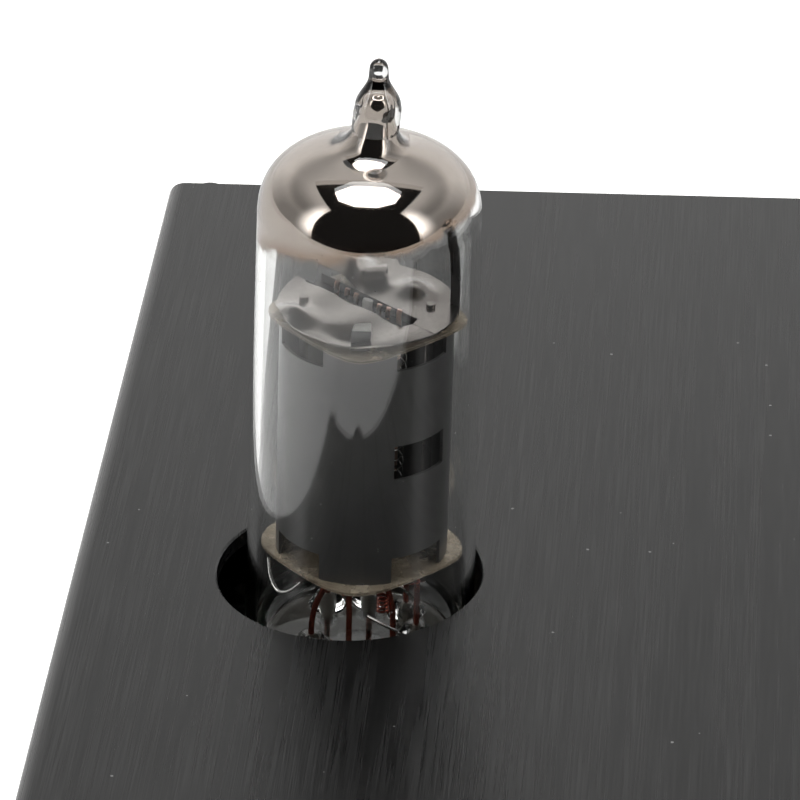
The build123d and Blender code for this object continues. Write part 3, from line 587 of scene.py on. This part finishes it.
def bead(x, y, z):
    """The glass climbs each pin in a small bead."""
    if z > BUTTON_TOP + 0.4:
        return 0
    near = min(math.hypot(x - PIN_CIRCLE * cos(a), y - PIN_CIRCLE * sin(a)) for a in PIN_ANGLES)
    t = min(1, max(0, (1.75 - near) / 1.1))
    return BEAD_RISE * t * t * (3 - 2 * t)


def placed(points, place):
    return [place @ (Vector(p) * MM) for p in points]


def make_glass(side, place):
    outside, faces = revolved(glass_outside(), GLASS_SEGMENTS)
    inside, more = revolved(glass_inside(), GLASS_SEGMENTS, bead)
    start = len(outside)
    faces += [tuple(start + k for k in reversed(face)) for face in more]
    points = placed(outside + inside, place)
    obj = mesh_object(f"glass_envelope_{side}", points, faces, glass_look, turn=False)
    outward_from(obj, place, start)
    return obj


def outward_from(obj, place, start):
    """Turn the outer skin away from the middle and the inner skin towards it.

    Some quads on the steep sides of the pin beads come out the other way.
    """
    axis, base = place.to_3x3() @ Vector((0, 0, 1)), place.translation
    wrong = []
    for face in obj.data.polygons:
        along = (face.center - base).dot(axis)
        middle = base + axis * min(max(along, 0.006), 0.044)
        outer = face.vertices[0] < start
        if ((face.center - middle).dot(face.normal) > 0) != outer:
            wrong.append(face.index)
    with edited(obj.data) as shell:
        shell.faces.ensure_lookup_table()
        bmesh.ops.reverse_faces(shell, faces=[shell.faces[k] for k in wrong])


def make_film(side, place):
    """The getter mirror, a thin skin inside the dome that ends along a tilted line."""
    line = [(r + 0.05, z + 0.05) for r, z in glass_inside()[1:] if z > FILM_MIDDLE - 3.5]
    points, edge = [], []
    for radius, height in line[:-1]:
        aside = off_centre(height).x
        for a in (2 * pi * k / GLASS_SEGMENTS for k in range(GLASS_SEGMENTS)):
            x, y = radius * cos(a) + aside, radius * sin(a)
            limit = FILM_MIDDLE + FILM_TILT * x + 0.25 * sin(3 * a + 0.7) + 0.15 * sin(7 * a)
            points.append((x, y, height))
            edge.append((height - limit + 0.6) / 6)
    faces = grid_faces(len(line) - 1, GLASS_SEGMENTS)
    top, last, rim = line[-1][1], len(points), (len(line) - 2) * GLASS_SEGMENTS
    points.append((off_centre(top).x, 0, top))
    edge.append(1.0)
    faces += [(last, rim + k, rim + (k + 1) % GLASS_SEGMENTS) for k in range(GLASS_SEGMENTS)]
    faces = [f for f in faces if max(edge[k] for k in f) > 0]
    obj = mesh_object(f"getter_film_{side}", placed(points, place), faces, film_look)
    attribute = obj.data.attributes.new("edge", "FLOAT", "POINT")
    attribute.data.foreach_set("value", [min(1.0, max(0.0, e)) for e in edge])
    with edited(obj.data) as shell:
        delete_loose(shell)
    return obj


def make_pins(side, place):
    foot = -PIN_LENGTH
    points, quads = revolved([
        (0, foot), (0.22, foot), (0.42, foot + 0.14), (PIN_RADIUS, foot + 0.5),
        (PIN_RADIUS, 1.0), (PIN_RADIUS, 2.4), (0.44, 2.7), (0.30, 2.95), (0, 3.0)], 24)
    verts, faces = joined([
        ([(x + PIN_CIRCLE * cos(a), y + PIN_CIRCLE * sin(a), z) for x, y, z in points], quads)
        for a in PIN_ANGLES])
    obj = mesh_object(f"pins_{side}", placed(verts, place), faces, pin_look)
    sharpen(obj, 50)
    return obj


def make_leads(side, place):
    """Copper-plated leads rise from the pins and bend in to the electrodes."""
    ends = [(-1.4, -3.0), (-0.7, -4.4), (2.2, -4.3), (4.6, -1.2), (3.3, 3.0), (0.6, 4.6),
            (-2.6, 3.4)]
    bends = [0.9, 0.15, 0.35, 0.25, 0.5, 0.3, 0.4]
    low, high = 2.6, LOWER_MICA - 0.05
    lines = []
    for angle, (x1, y1), bend in zip(PIN_ANGLES, ends, bends):
        x0, y0 = PIN_CIRCLE * cos(angle), PIN_CIRCLE * sin(angle)
        steps = (0, 0), (0.02, 0.25), (0.18 * bend + 0.05, 0.5), (0.55 + 0.1 * bend, 0.78), (1, 1)
        lines.append(through([(x0 + (x1 - x0) * inward, y0 + (y1 - y0) * inward,
                               low + (high - low) * up) for inward, up in steps], 8))
    return wires(f"lead_wires_{side}", lines, 0.25, copper_red, place, 6)


def coil(x, y, low, high, radius, turns):
    per_turn = 12
    count = int(turns * per_turn)
    return [(x + radius * cos(2 * pi * k / per_turn), y + radius * sin(2 * pi * k / per_turn),
             low + (high - low) * k / count) for k in range(count + 1)]


def make_welds(side, place):
    """Fine wire wound and welded where leads meet the electrode rods."""
    under = LOWER_MICA - 0.1
    lines = [
        coil(2.15, -4.35, 6.4, 8.0, 0.42, 4.5),
        coil(-0.72, -4.5, 7.9, 8.9, 0.40, 3.0),
        coil(4.5, -1.3, 7.4, 8.6, 0.40, 3.5),
        coil(-1.45, -3.1, 8.7, 9.5, 0.40, 2.5),
    ]
    obj = wires(f"weld_coils_{side}", lines, 0.11, copper_red, place, 3)
    bright = [
        through([(-7.2, -2.9, under), (-6.9, -3.7, under - 1.3), (-6.2, -4.6, under - 2.1),
                 (-5.3, -5.2, under - 1.7), (-4.3, -5.7, under - 0.5)], 8),
        through([(1.0, -4.9, under - 0.7), (2.6, -4.6, under - 1.0), (4.3, -3.9, under - 0.9),
                 (5.6, -2.9, under - 0.4)], 8),
        through([(0.9, -4.6, 6.1), (2.2, -4.3, 5.2), (3.3, -3.9, 4.4)], 6),
        through([(3.0, -2.6, 8.2), (4.0, -2.0, 7.0), (4.4, -1.2, 6.0)], 6),
    ]
    loops = wires(f"bright_wires_{side}", bright, 0.13, bright_wire, place, 4)
    return obj, loops


def mica_outline(half_width, reach):
    """A square stood on its corner, the corners rounded where they touch the glass."""
    line = []
    for a in (2 * pi * k / 240 for k in range(240)):
        flat = half_width / max(abs(cos(a - pi / 4)), abs(sin(a - pi / 4)))
        rough = 0.035 * noise.noise(Vector((9 * cos(a), 9 * sin(a), half_width)))
        radius = (flat**-14 + reach**-14) ** (-1 / 14) + rough
        line.append((radius * cos(a), radius * sin(a)))
    return line


def make_mica(name, place, level, half_width, reach):
    """A stack of three split sheets, each a little ragged."""
    line, verts, faces = mica_outline(half_width, reach), [], []
    count, gap, step = len(line), 0.01, MICA_SHEET / 3
    for layer, shrink in enumerate((1, 0.988, 0.994)):
        low, high = len(verts), len(verts) + 2 * count + 1
        for z in (level + layer * step + gap, level + (layer + 1) * step - gap):
            verts += [(x * shrink, y * shrink, z) for x, y in line]
            verts += [(x * 0.5, y * 0.5, z) for x, y in line] + [(0, 0, z)]
        for k in range(count):
            n = (k + 1) % count
            faces.append((low + k, low + n, high + n, high + k))
            for base in (low, high):
                inner = base + count
                faces.append((base + k, base + n, inner + n, inner + k))
                faces.append((inner + k, inner + n, inner + count))
    obj = mesh_object(name, placed(verts, place), faces, mica_look)
    sharpen(obj, 40)
    return obj


def make_anode(side, place):
    """The sleeve between the micas: windows at its foot and head, and two on a belt."""
    bottom, top = LOWER_MICA + MICA_SHEET, UPPER_MICA
    foot, head = bottom + FOOT_WINDOW, top - HEAD_WINDOW
    levels = [bottom, (bottom + foot) / 2, foot]
    levels += [foot + (BELT_LOW - foot) * k / 5 for k in range(1, 6)]
    levels += [(BELT_LOW + BELT_HIGH) / 2, BELT_HIGH]
    levels += [BELT_HIGH + (head - BELT_HIGH) * k / 5 for k in range(1, 6)]
    levels += [(head + top) / 2, top]
    segments = 240
    step = 360 / segments
    points = [(ANODE_RADIUS * cos(radians(k * step)), ANODE_RADIUS * sin(radians(k * step)), z)
              for z in levels for k in range(segments)]

    def open_at(angle, z):
        belt = BELT_LOW < z < BELT_HIGH and int(angle // 90) in (1, 3)
        return abs(angle % 90 - 45) <= WINDOW_HALF and (z < foot or z > head or belt)

    faces = []
    for quad in grid_faces(len(levels), segments):
        row, column = divmod(quad[0], segments)
        if not open_at((column + 0.5) * step, (levels[row] + levels[row + 1]) / 2):
            faces.append(quad)
    name = f"anode_sleeve_{side}"
    obj = mesh_object(name, placed(points, place), faces, anode_look, turn=False)
    with edited(obj.data) as shell:
        delete_loose(shell)
    obj.data.materials.append(sleeve_inside)
    thick = obj.modifiers.new("sheet", "SOLIDIFY")
    thick.thickness, thick.offset, thick.material_offset = ANODE_SHEET * MM, -1, 1
    obj.modifiers.new("split", "EDGE_SPLIT").split_angle = radians(35)
    return obj


def ribbon(line, width, across, thickness):
    """A flat strip along a line. Width and across may change from one station to the next."""
    verts, last = [], len(line) - 1
    for k, point in enumerate(line):
        p, side = Vector(point), Vector(across(k) if callable(across) else across)
        ahead = Vector(line[min(k + 1, last)]) - Vector(line[max(k - 1, 0)])
        up = side.cross(ahead).normalized() * thickness / 2
        half = side.normalized() * (width(k) if callable(width) else width) / 2
        verts += [p - half - up, p + half - up, p + half + up, p - half + up]
    faces = [(0, 1, 2, 3), tuple(4 * last + k for k in (3, 2, 1, 0))]
    return [tuple(v) for v in verts], faces + grid_faces(last + 1, 4)


def joined(parts):
    verts, faces = [], []
    for points, quads in parts:
        start = len(verts)
        verts += points
        faces += [tuple(start + k for k in f) for f in quads]
    return verts, faces


def make_tabs(side, place):
    """The sleeve's tabs stand through the micas; the upper ones are bent over in crimps, painted
    bright as a highlight.
    """
    parts, crimps = [], []
    middle = ANODE_RADIUS - ANODE_SHEET / 2
    for sign in (-1, 1):
        stand, top = sign * (middle - 0.6), UPPER_MICA + (2.1 if sign < 0 else 0.9)
        line = [(0.0, stand, UPPER_MICA - 0.4), (0.0, stand, top - 0.7), (0.05, stand * 0.99, top)]
        parts.append(ribbon(line, lambda k: 1.6 - 0.06 * k, lambda k: (1, 0.06 * k, 0), 0.25))
        fold = [(0.05, stand, top - 0.1), (0.07, stand * 0.985, top + 0.18),
                (0.1, stand * 0.94, top + 0.3)]
        crimps.append(ribbon(fold, lambda k: 1.46 - 0.1 * k, lambda k: (1, 0.06, 0.05 * k), 0.32))
        low = [(0, sign * middle, LOWER_MICA + 0.5), (0, sign * middle, LOWER_MICA - 0.8)]
        parts.append(ribbon(low, 1.5, (1, 0, 0), 0.25))
    pieces = []
    for name, shapes, look in (("tabs", parts, anode_look), ("crimps", crimps, crimp_highlight)):
        verts, faces = joined(shapes)
        obj = mesh_object(f"anode_{name}_{side}", placed(verts, place), faces, look)
        sharpen(obj)
        pieces.append(bevelled(obj, 0.00005))
    return pieces


def shield_height(u, v, half):
    """Pressed shapes of a half disc: u runs along the slot and v away from it."""
    def hill(cu, cv, ru, rv, height):
        d = ((u - cu) / ru) ** 2 + ((v - cv) / rv) ** 2
        return height * math.exp(-d * 1.6)

    if half == "front":
        wave = hill(-2.4, 5.8, 2.0, 1.7, 0.75)
        return wave + hill(2.8, 5.6, 2.4, 1.2, -0.25) + 0.05 * sin(1.3 * u)
    cup = hill(1.2, 4.3, 1.7, 1.5, 0.95) - hill(1.2, 4.3, 0.8, 0.6, 0.35)
    fold = 1.5 * max(0.0, min(1.0, (-u - 1.6) / 2.0)) ** 1.5 * max(0.0, 1 - abs(v - 2.2) / 3.0)
    return cup + fold


def in_row(u, v, z):
    """A point u along the slot between the shield plates and v across it."""
    c, s = cos(ROW_ANGLE), sin(ROW_ANGLE)
    return u * c - v * s, u * s + v * c, z


def make_shield(side, place):
    """Two half discs over the upper mica with a slot between them for the grid rods."""
    reach, rings, spokes = SHIELD_RADIUS - 0.05, 22, 72
    depth = math.sqrt(reach**2 - SLOT_HALF**2) - SLOT_HALF
    parts = []
    for half, sign in (("front", -1), ("rear", 1)):
        points = []
        for share in (r / rings for r in range(rings + 1)):
            for a in (pi * k / spokes for k in range(spokes + 1)):
                u, v = reach * share * cos(a), SLOT_HALF + depth * share * sin(a)
                if u * u + v * v > reach * reach:
                    v = math.sqrt(max(SLOT_HALF**2, reach * reach - u * u))
                z = SHIELD_Z + shield_height(u, v, half)
                if u > SLOT_END:  # the plates meet beyond the slot
                    v -= (SLOT_HALF - 0.05) * max(0.0, 1 - (v - SLOT_HALF) / 2.5)
                points.append(in_row(u, sign * v, z))
        parts.append((points, grid_faces(rings + 1, spokes + 1, wrap=False)))
    verts, faces = joined(parts)
    obj = mesh_object(f"shield_plates_{side}", placed(verts, place), faces, bright_nickel)
    with edited(obj.data) as shell:
        bmesh.ops.remove_doubles(shell, verts=shell.verts, dist=0.000001)
    obj.modifiers.new("sheet", "SOLIDIFY").thickness = 0.15 * MM
    obj.modifiers.new("split", "EDGE_SPLIT").split_angle = radians(50)
    return obj


def rod(at, rise):
    """A rod of the row, standing through both micas, its end bent over a little."""
    x, y, top = in_row(at, 0, SHIELD_Z + rise)
    return [(x, y, LOWER_MICA - 0.8), (x, y, top - 0.25), (x + 0.07, y + 0.05, top)]


def make_shield_fittings(side, place):
    """Posts and a lug of the shield, the slot's sides and a sheet under them in painted shadow,
    and the electrodes that end in it.
    """
    posts = [[(x, -0.1, LOWER_MICA - 0.8), (x, -0.1, SHIELD_Z + 0.32)] for x in (-5.1, 5.1)]
    posts = wires(f"support_rods_{side}", posts, 0.38, bright_nickel, place, 6)
    lug = [(0.3, 3.1, 0.1), (0.3, 3.15, 0.7), (0.35, 3.5, 1.0), (0.4, 4.4, 1.05),
           (0.45, 4.7, 0.7), (0.45, 4.75, 0.2)]
    lug = through([(x, y, SHIELD_Z + z) for x, y, z in lug], 3)
    verts, faces = ribbon(lug, 1.7, (1, 0.25, 0), 0.16)
    lugs = mesh_object(f"shield_lugs_{side}", placed(verts, place), faces, bright_nickel)
    sharpen(lugs)
    bevelled(lugs, 0.00004)
    ends = [rod(*end) for end in ROD_ENDS]
    rods = wires(f"electrode_rods_{side}", ends, 0.22, rod_copper, place, 5)
    tube = wires(f"cathode_tube_{side}", [rod(0.0, 0.25)], 0.42, oxide_white, place, 6)
    # The slot's sides and a sheet under the slot, in the dark slot_shadow finish: painted shadow
    # in the slot.
    painted_shade_walls = []
    for sign in (-1, 1):
        wall = [in_row(u, sign * SLOT_HALF, SHIELD_Z - 0.42) for u in (-6.2, 0, SLOT_END + 0.1)]
        painted_shade_walls.append(ribbon(wall, 0.84, (0, 0, 1), 0.12))
    under = [in_row(u, 0, SHIELD_Z - 0.80) for u in (-6.4, 0, SLOT_END + 0.1)]
    painted_shade_walls.append(ribbon(under, 2 * SLOT_HALF, in_row(0, 1, 0), 0.06))
    verts, faces = joined(painted_shade_walls)
    folds_painted_shade = mesh_object(f"slot_sides_painted_shade_{side}", placed(verts, place), faces, slot_dark)
    return posts, lugs, folds_painted_shade, rods, tube


def make_grid_wires(side, place):
    """Flattened helices of fine wire wound on each pair of rods."""
    bottom, top, per_turn = LOWER_MICA + 1.0, UPPER_MICA - 0.6, 28
    lines = []
    for reach, depth, pitch in ((1.3, 0.95, 0.42), (2.3, 1.6, 0.62), (3.5, 2.6, 0.95)):
        count = int((top - bottom) / pitch * per_turn)
        turns = [(2 * pi * k / per_turn, k / count) for k in range(count + 1)]
        lines.append([in_row((reach + 0.25) * cos(a), depth * sin(a), bottom + (top - bottom) * t)
                      for a, t in turns])
    return wires(f"grid_wires_{side}", lines, 0.045, bright_wire, place, 1)


def make_getter(side, place):
    """The getter strip beside the shield, with its hooked head and small ring."""
    foot = UPPER_MICA + MICA_SHEET
    strip = [(7.0, 0.6, -0.3), (7.05, 0.5, 2.0), (6.95, 0.3, 4.6), (6.7, 0.1, 6.9),
             (6.35, -0.1, 8.2), (5.9, -0.3, 8.75)]
    hook = [(6.3, -0.7, 7.9), (6.7, -0.9, 8.5), (6.4, -0.9, 9.0), (6.0, -0.6, 8.6)]
    strip, hook = ([(x, y, foot + z) for x, y, z in line] for line in (strip, hook))
    verts, faces = ribbon(through(strip, 4), 0.85, (0.9, -0.45, 0), 0.16)
    obj = mesh_object(f"getter_strip_{side}", placed(verts, place), faces, dark_strip)
    sharpen(obj)
    bevelled(obj, 0.00004)
    ring = [(4.9 + 1.35 * cos(a), -0.3 + 1.35 * sin(a), foot + 8.7 + 0.25 * sin(a))
            for a in (2 * pi * k / 40 for k in range(41))]
    lines = [ring, through(hook, 6)]
    return obj, wires(f"getter_ring_{side}", lines, 0.24, dark_strip, place, 5)


for side in SIDES:
    place = valve_place(side)
    lower = make_mica(f"lower_spacer_{side}", place, LOWER_MICA, *LOWER_SPAN)
    upper = make_mica(f"upper_spacer_{side}", place, UPPER_MICA, *UPPER_SPAN)
    posts, lugs, folds_painted_shade, rods, tube = make_shield_fittings(side, place)
    strip, ring = make_getter(side, place)
    for made, slot, *nodes in (  # the piece, its finish, the CAD node that it stands for
        (make_glass(side, place), "bulb_glass", "glass_bulb"),
        (make_film(side, place), "getter_metal"),
        (make_pins(side, place), "pin_alloy", "base_pins"),
        (make_leads(side, place), "pin_alloy"),
        *((wire, "pin_alloy") for wire in make_welds(side, place)),
        (lower, "mica_sheet", "lower_mica"),
        (upper, "mica_sheet", "upper_mica"),
        (make_anode(side, place), "anode_nickel", "anode"),
        *((tab, "anode_nickel") for tab in make_tabs(side, place)),
        (make_shield(side, place), "shield_nickel", "top_shield"),
        (posts, "shield_nickel"),
        (lugs, "shield_nickel"),
        (rods, "grid_rod_copper", "grid_rods"),
        (tube, "grid_rod_copper", "cathode"),
        (folds_painted_shade, "shield_nickel"),
        (make_grid_wires(side, place), "grid_rod_copper"),
        (strip, "getter_metal", "getter"),
        (ring, "getter_metal"),
    ):
        piece(made, f"valve_{side}", slot, *(f"{node}_{side}" for node in nodes))


# ======== Front controls ========
def turned_about_y(points, centre):
    """Points of a piece turned round Z, laid down so that its axis faces the front."""
    return [Vector((centre.x + x, centre.y - z, centre.z + y)) for x, y, z in points]


def make_knob(side):
    """A turned knob: knurled side, chamfered rim, dished and spun face."""
    low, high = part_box(f"gain_knob_{side}")
    centre = Vector(((low.x + high.x) / 2, high.y, (low.z + high.z) / 2))
    radius, length = (high.x - low.x) / 2 - 0.00005, high.y - low.y
    side_radius, groove = radius - 0.0001, radius - 0.0004
    ribs, per_rib, rib_depth = 72, 6, 0.00028
    segments = ribs * per_rib
    sections = [  # radius, distance from the panel side, share of the knurl
        (0.0064, 0.0040, 0), (0.0064, 0.0, 0), (radius - 0.0009, 0.0, 0),
        (groove, 0.0005, 0), (groove, 0.0022, 0), (side_radius, 0.0026, 1),
        (side_radius, length - 0.0020, 1), (groove, length - 0.0016, 0),
        (radius - 0.0005, length - 0.0008, 0), (radius - 0.0012, length - 0.0001, 0),
        (radius - 0.0020, length - 0.0001, 0), (radius - 0.0024, length - 0.0005, 0),
        (0.004, length - 0.0007, 0), (0.0002, length - 0.0007, 0),
    ]
    points = []
    for r, z, knurl in sections:
        for k in range(segments):
            a = 2 * pi * k / segments
            cut = rib_depth * knurl * (0.5 - 0.5 * cos(2 * pi * k / per_rib))
            points.append(((r - cut) * cos(a), (r - cut) * sin(a), z))
    faces = grid_faces(len(sections), segments)
    faces.append(tuple(range((len(sections) - 1) * segments, len(sections) * segments)))
    faces.append(tuple(reversed(range(segments))))
    verts = turned_about_y(points, centre)
    obj = mesh_object(f"knob_{side}", verts, faces, knob_look(side, centre))
    sharpen(obj, 32)
    line = [(0, radius * 0.34, length - 0.00052), (0, radius - 0.0026, length - 0.00048)]
    mark, quads = ribbon(line, 0.0011, (1, 0, 0), 0.0003)
    pointer = mesh_object(f"pointer_{side}", turned_about_y(mark, centre), quads, inlay)
    bevelled(pointer, 0.0001)
    return obj, pointer


def knob_look(side, centre):
    """Black anodised metal with the fine rings that turning leaves on the face."""
    look = Look(f"knob_metal_{side}", Metallic=0.35)
    where = look.node("TexCoord").outputs["Object"]
    moved = look.node("VectorMath", {0: where, 1: tuple(centre)}, operation="SUBTRACT")
    flat = look.node("VectorMath", {0: moved.outputs[0], 1: (1, 0, 1)}, operation="MULTIPLY")
    distance = look.node("VectorMath", {0: flat.outputs[0]}, operation="LENGTH").outputs["Value"]
    rings = look.math("SINE", look.times(distance, 24000.0))
    cloud = look.spread(look.noise(240, 4.0), 0, 1)
    look.set("Base Color", look.mix(cloud, grey(0.018), grey(0.032)))
    look.set("Roughness", look.ranged(rings, -1, 1, 0.26, 0.36))
    look.bump(rings, 0.000006, 0.5)
    return look.material


def make_dial(side):
    """Ticks and numbers round a knob, filled in white."""
    low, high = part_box(f"gain_knob_{side}")
    centre = Vector(((low.x + high.x) / 2, front_face - 0.00002, (low.z + high.z) / 2))
    marks, first, sweep = 10, 240, 300
    parts = []
    for k in range(marks * 2 + 1):
        angle = radians(first - sweep * k / (2 * marks))
        ends = 0.0120, 0.0130 if k % 2 == 0 else 0.0125
        reach = [Vector((cos(angle), 0, sin(angle))) * r + centre for r in ends]
        parts.append(ribbon(reach, 0.00032, (-sin(angle), 0, cos(angle)), 0.00006))
    verts, faces = joined(parts)
    ticks = mesh_object(f"dial_ticks_{side}", verts, faces, inlay, smooth=False)
    mesh = bpy.data.meshes.new(f"dial_numbers_{side}")
    with edited(mesh) as numbers:
        for k in range(marks + 1):
            angle = radians(first - sweep * k / marks)
            text = bpy.data.curves.new("number", "FONT")
            text.body, text.size, text.extrude = str(k), 0.0021, 0.00003
            text.align_x, text.align_y = "CENTER", "CENTER"
            holder = bpy.data.objects.new("number", text)
            number = bpy.data.meshes.new_from_object(holder)
            spot = centre + Vector((cos(angle), 0, sin(angle))) * 0.0146
            number.transform(Matrix.Translation(spot) @ Matrix.Rotation(pi / 2, 4, "X"))
            numbers.from_mesh(number)
            bpy.data.objects.remove(holder)
            bpy.data.curves.remove(text)
            bpy.data.meshes.remove(number)
    mesh.materials.append(inlay)
    return ticks, added(mesh.name, mesh)


for side in SIDES:
    knob, pointer = make_knob(side)
    piece(knob, f"gain_{side}", "knob_aluminium", f"gain_knob_{side}")
    piece(pointer, f"gain_{side}", "knob_aluminium")
    for mark in make_dial(side):
        piece(mark, "case", "anodised_end_plate")


# ======== Stage, light and camera ========
def make_floor():
    """A pale floor that ends a little in front of the object, as a table does."""
    front, back, half = -0.27, 6, 4
    verts = [(-half, front, 0), (half, front, 0), (half, back, 0), (-half, back, 0)]
    look = Look("floor", Roughness=0.9, Specular_IOR_Level=0.1, Emission_Color=grey(1.0))
    look.set("Base Color", look.mix(look.noise(3, 2.0), grey(0.80), grey(0.83)))
    seen = look.node("LightPath").outputs["Is Camera Ray"]
    look.set("Emission Strength", look.ranged(seen, 0, 1, 0.04, 0.50))
    mesh_object("floor", verts, [(0, 1, 2, 3)], look.material, smooth=False)


class Sky(Look):
    """The studio round the object, painted on the world by direction."""

    def __init__(self):
        world = bpy.data.worlds.new("studio")
        world.use_nodes = True
        bpy.context.scene.world = world
        self.tree = world.node_tree
        self.output = self.tree.nodes["World Output"]
        self.background = self.tree.nodes["Background"]


def make_studio():
    """White above and behind, a lit wall at each side, a lamp overhead, and dark in front."""
    sky = Sky()
    direction = sky.node("TexCoord").outputs["Generated"]
    x, y, z = sky.node("SeparateXYZ", {0: direction}).outputs
    front, side = sky.times(y, -1.0), sky.math("ABSOLUTE", x)

    def under(value, limit, soft):
        return sky.eased(value, limit - soft, limit + soft, 1.0, 0.0)

    # A wall at each side, from behind to a vertical edge in front, and up to the ceiling.
    across = sky.most(side, 0.01)
    edge, height = sky.over(front, across), sky.over(z, across)
    wall = sky.times(under(edge, 0.61, 0.02), under(height, 1.68, 0.03))
    # Everything behind a slanting line is lit too, and fades overhead and to the sides.
    slant = sky.minus(sky.times(z, -0.465), sky.times(side, 0.10))
    lit = sky.most(wall, under(sky.minus(front, slant), 0.0, 0.015))
    fade = sky.plus(sky.eased(z, 0.38, 0.58, 1.24, 0.62),
                    sky.eased(z, 0.62, 0.82, 0.0, 0.24))
    fade = sky.times(fade, sky.ranged(side, 0.55, 0.95, 1.0, 0.32))
    unlit = 0.02
    level = sky.plus(sky.times(lit, fade), unlit)
    # The front of each wall is the brightest, up to the height of a window.
    hot = sky.times(sky.eased(edge, 0.12, 0.64, 0.0, 4.2), wall)
    tall = sky.times(sky.ranged(height, -0.15, 0.2, 0, 1), sky.ranged(height, 0.9, 1.7, 1, 0))
    # An eight-sided lamp a little behind the point overhead.
    above = sky.most(z, 0.05)
    p = sky.math("ABSOLUTE", sky.over(sky.over(x, above), 0.345))
    q = sky.math("ABSOLUTE", sky.over(sky.minus(sky.over(front, above), -0.125), 0.32))
    octagon = sky.most(p, q, sky.over(sky.plus(p, q), 1.42))
    lamp = sky.times(under(octagon, 1.0, 0.02), sky.ranged(z, 0.1, 0.3, 0.0, 7.5))
    level = sky.plus(level, sky.times(hot, tall), lamp)
    seen = sky.node("LightPath").outputs["Is Camera Ray"]
    backdrop = 1.02
    strength = sky.node("Mix", {0: seen, 2: level, 3: backdrop}, data_type="FLOAT").outputs[0]
    sky.tree.links.new(strength, sky.background.inputs["Strength"])
    sky.background.inputs["Color"].default_value = (1.0, 0.995, 0.985, 1)


def make_camera():
    """A long lens that looks down on the left valve from in front."""
    data = bpy.data.cameras.new("camera")
    data.lens, data.sensor_width = 231.66, 36.0
    data.clip_start, data.clip_end = 0.01, 50
    camera = added("camera", data)
    corner = Vector((shell_low.x, shell_high.y, panel_top))
    spot = corner + Vector((56.8, -433.43, 218.563)) * MM
    yaw, pitch, roll = radians(-4.624), radians(29.041), radians(0.620)
    turn = Matrix.Rotation(-yaw, 4, "Z") @ Matrix.Rotation(pi / 2 - pitch, 4, "X")
    camera.matrix_world = Matrix.Translation(spot) @ turn @ Matrix.Rotation(-roll, 4, "Z")
    bpy.context.scene.camera = camera


make_floor()
make_studio()
make_camera()
scene = bpy.context.scene
scene.view_settings.view_transform = "Standard"
scene.cycles.max_bounces = 24
scene.cycles.transmission_bounces = 18
scene.cycles.transparent_max_bounces = 24
scene.cycles.glossy_bounces = 8
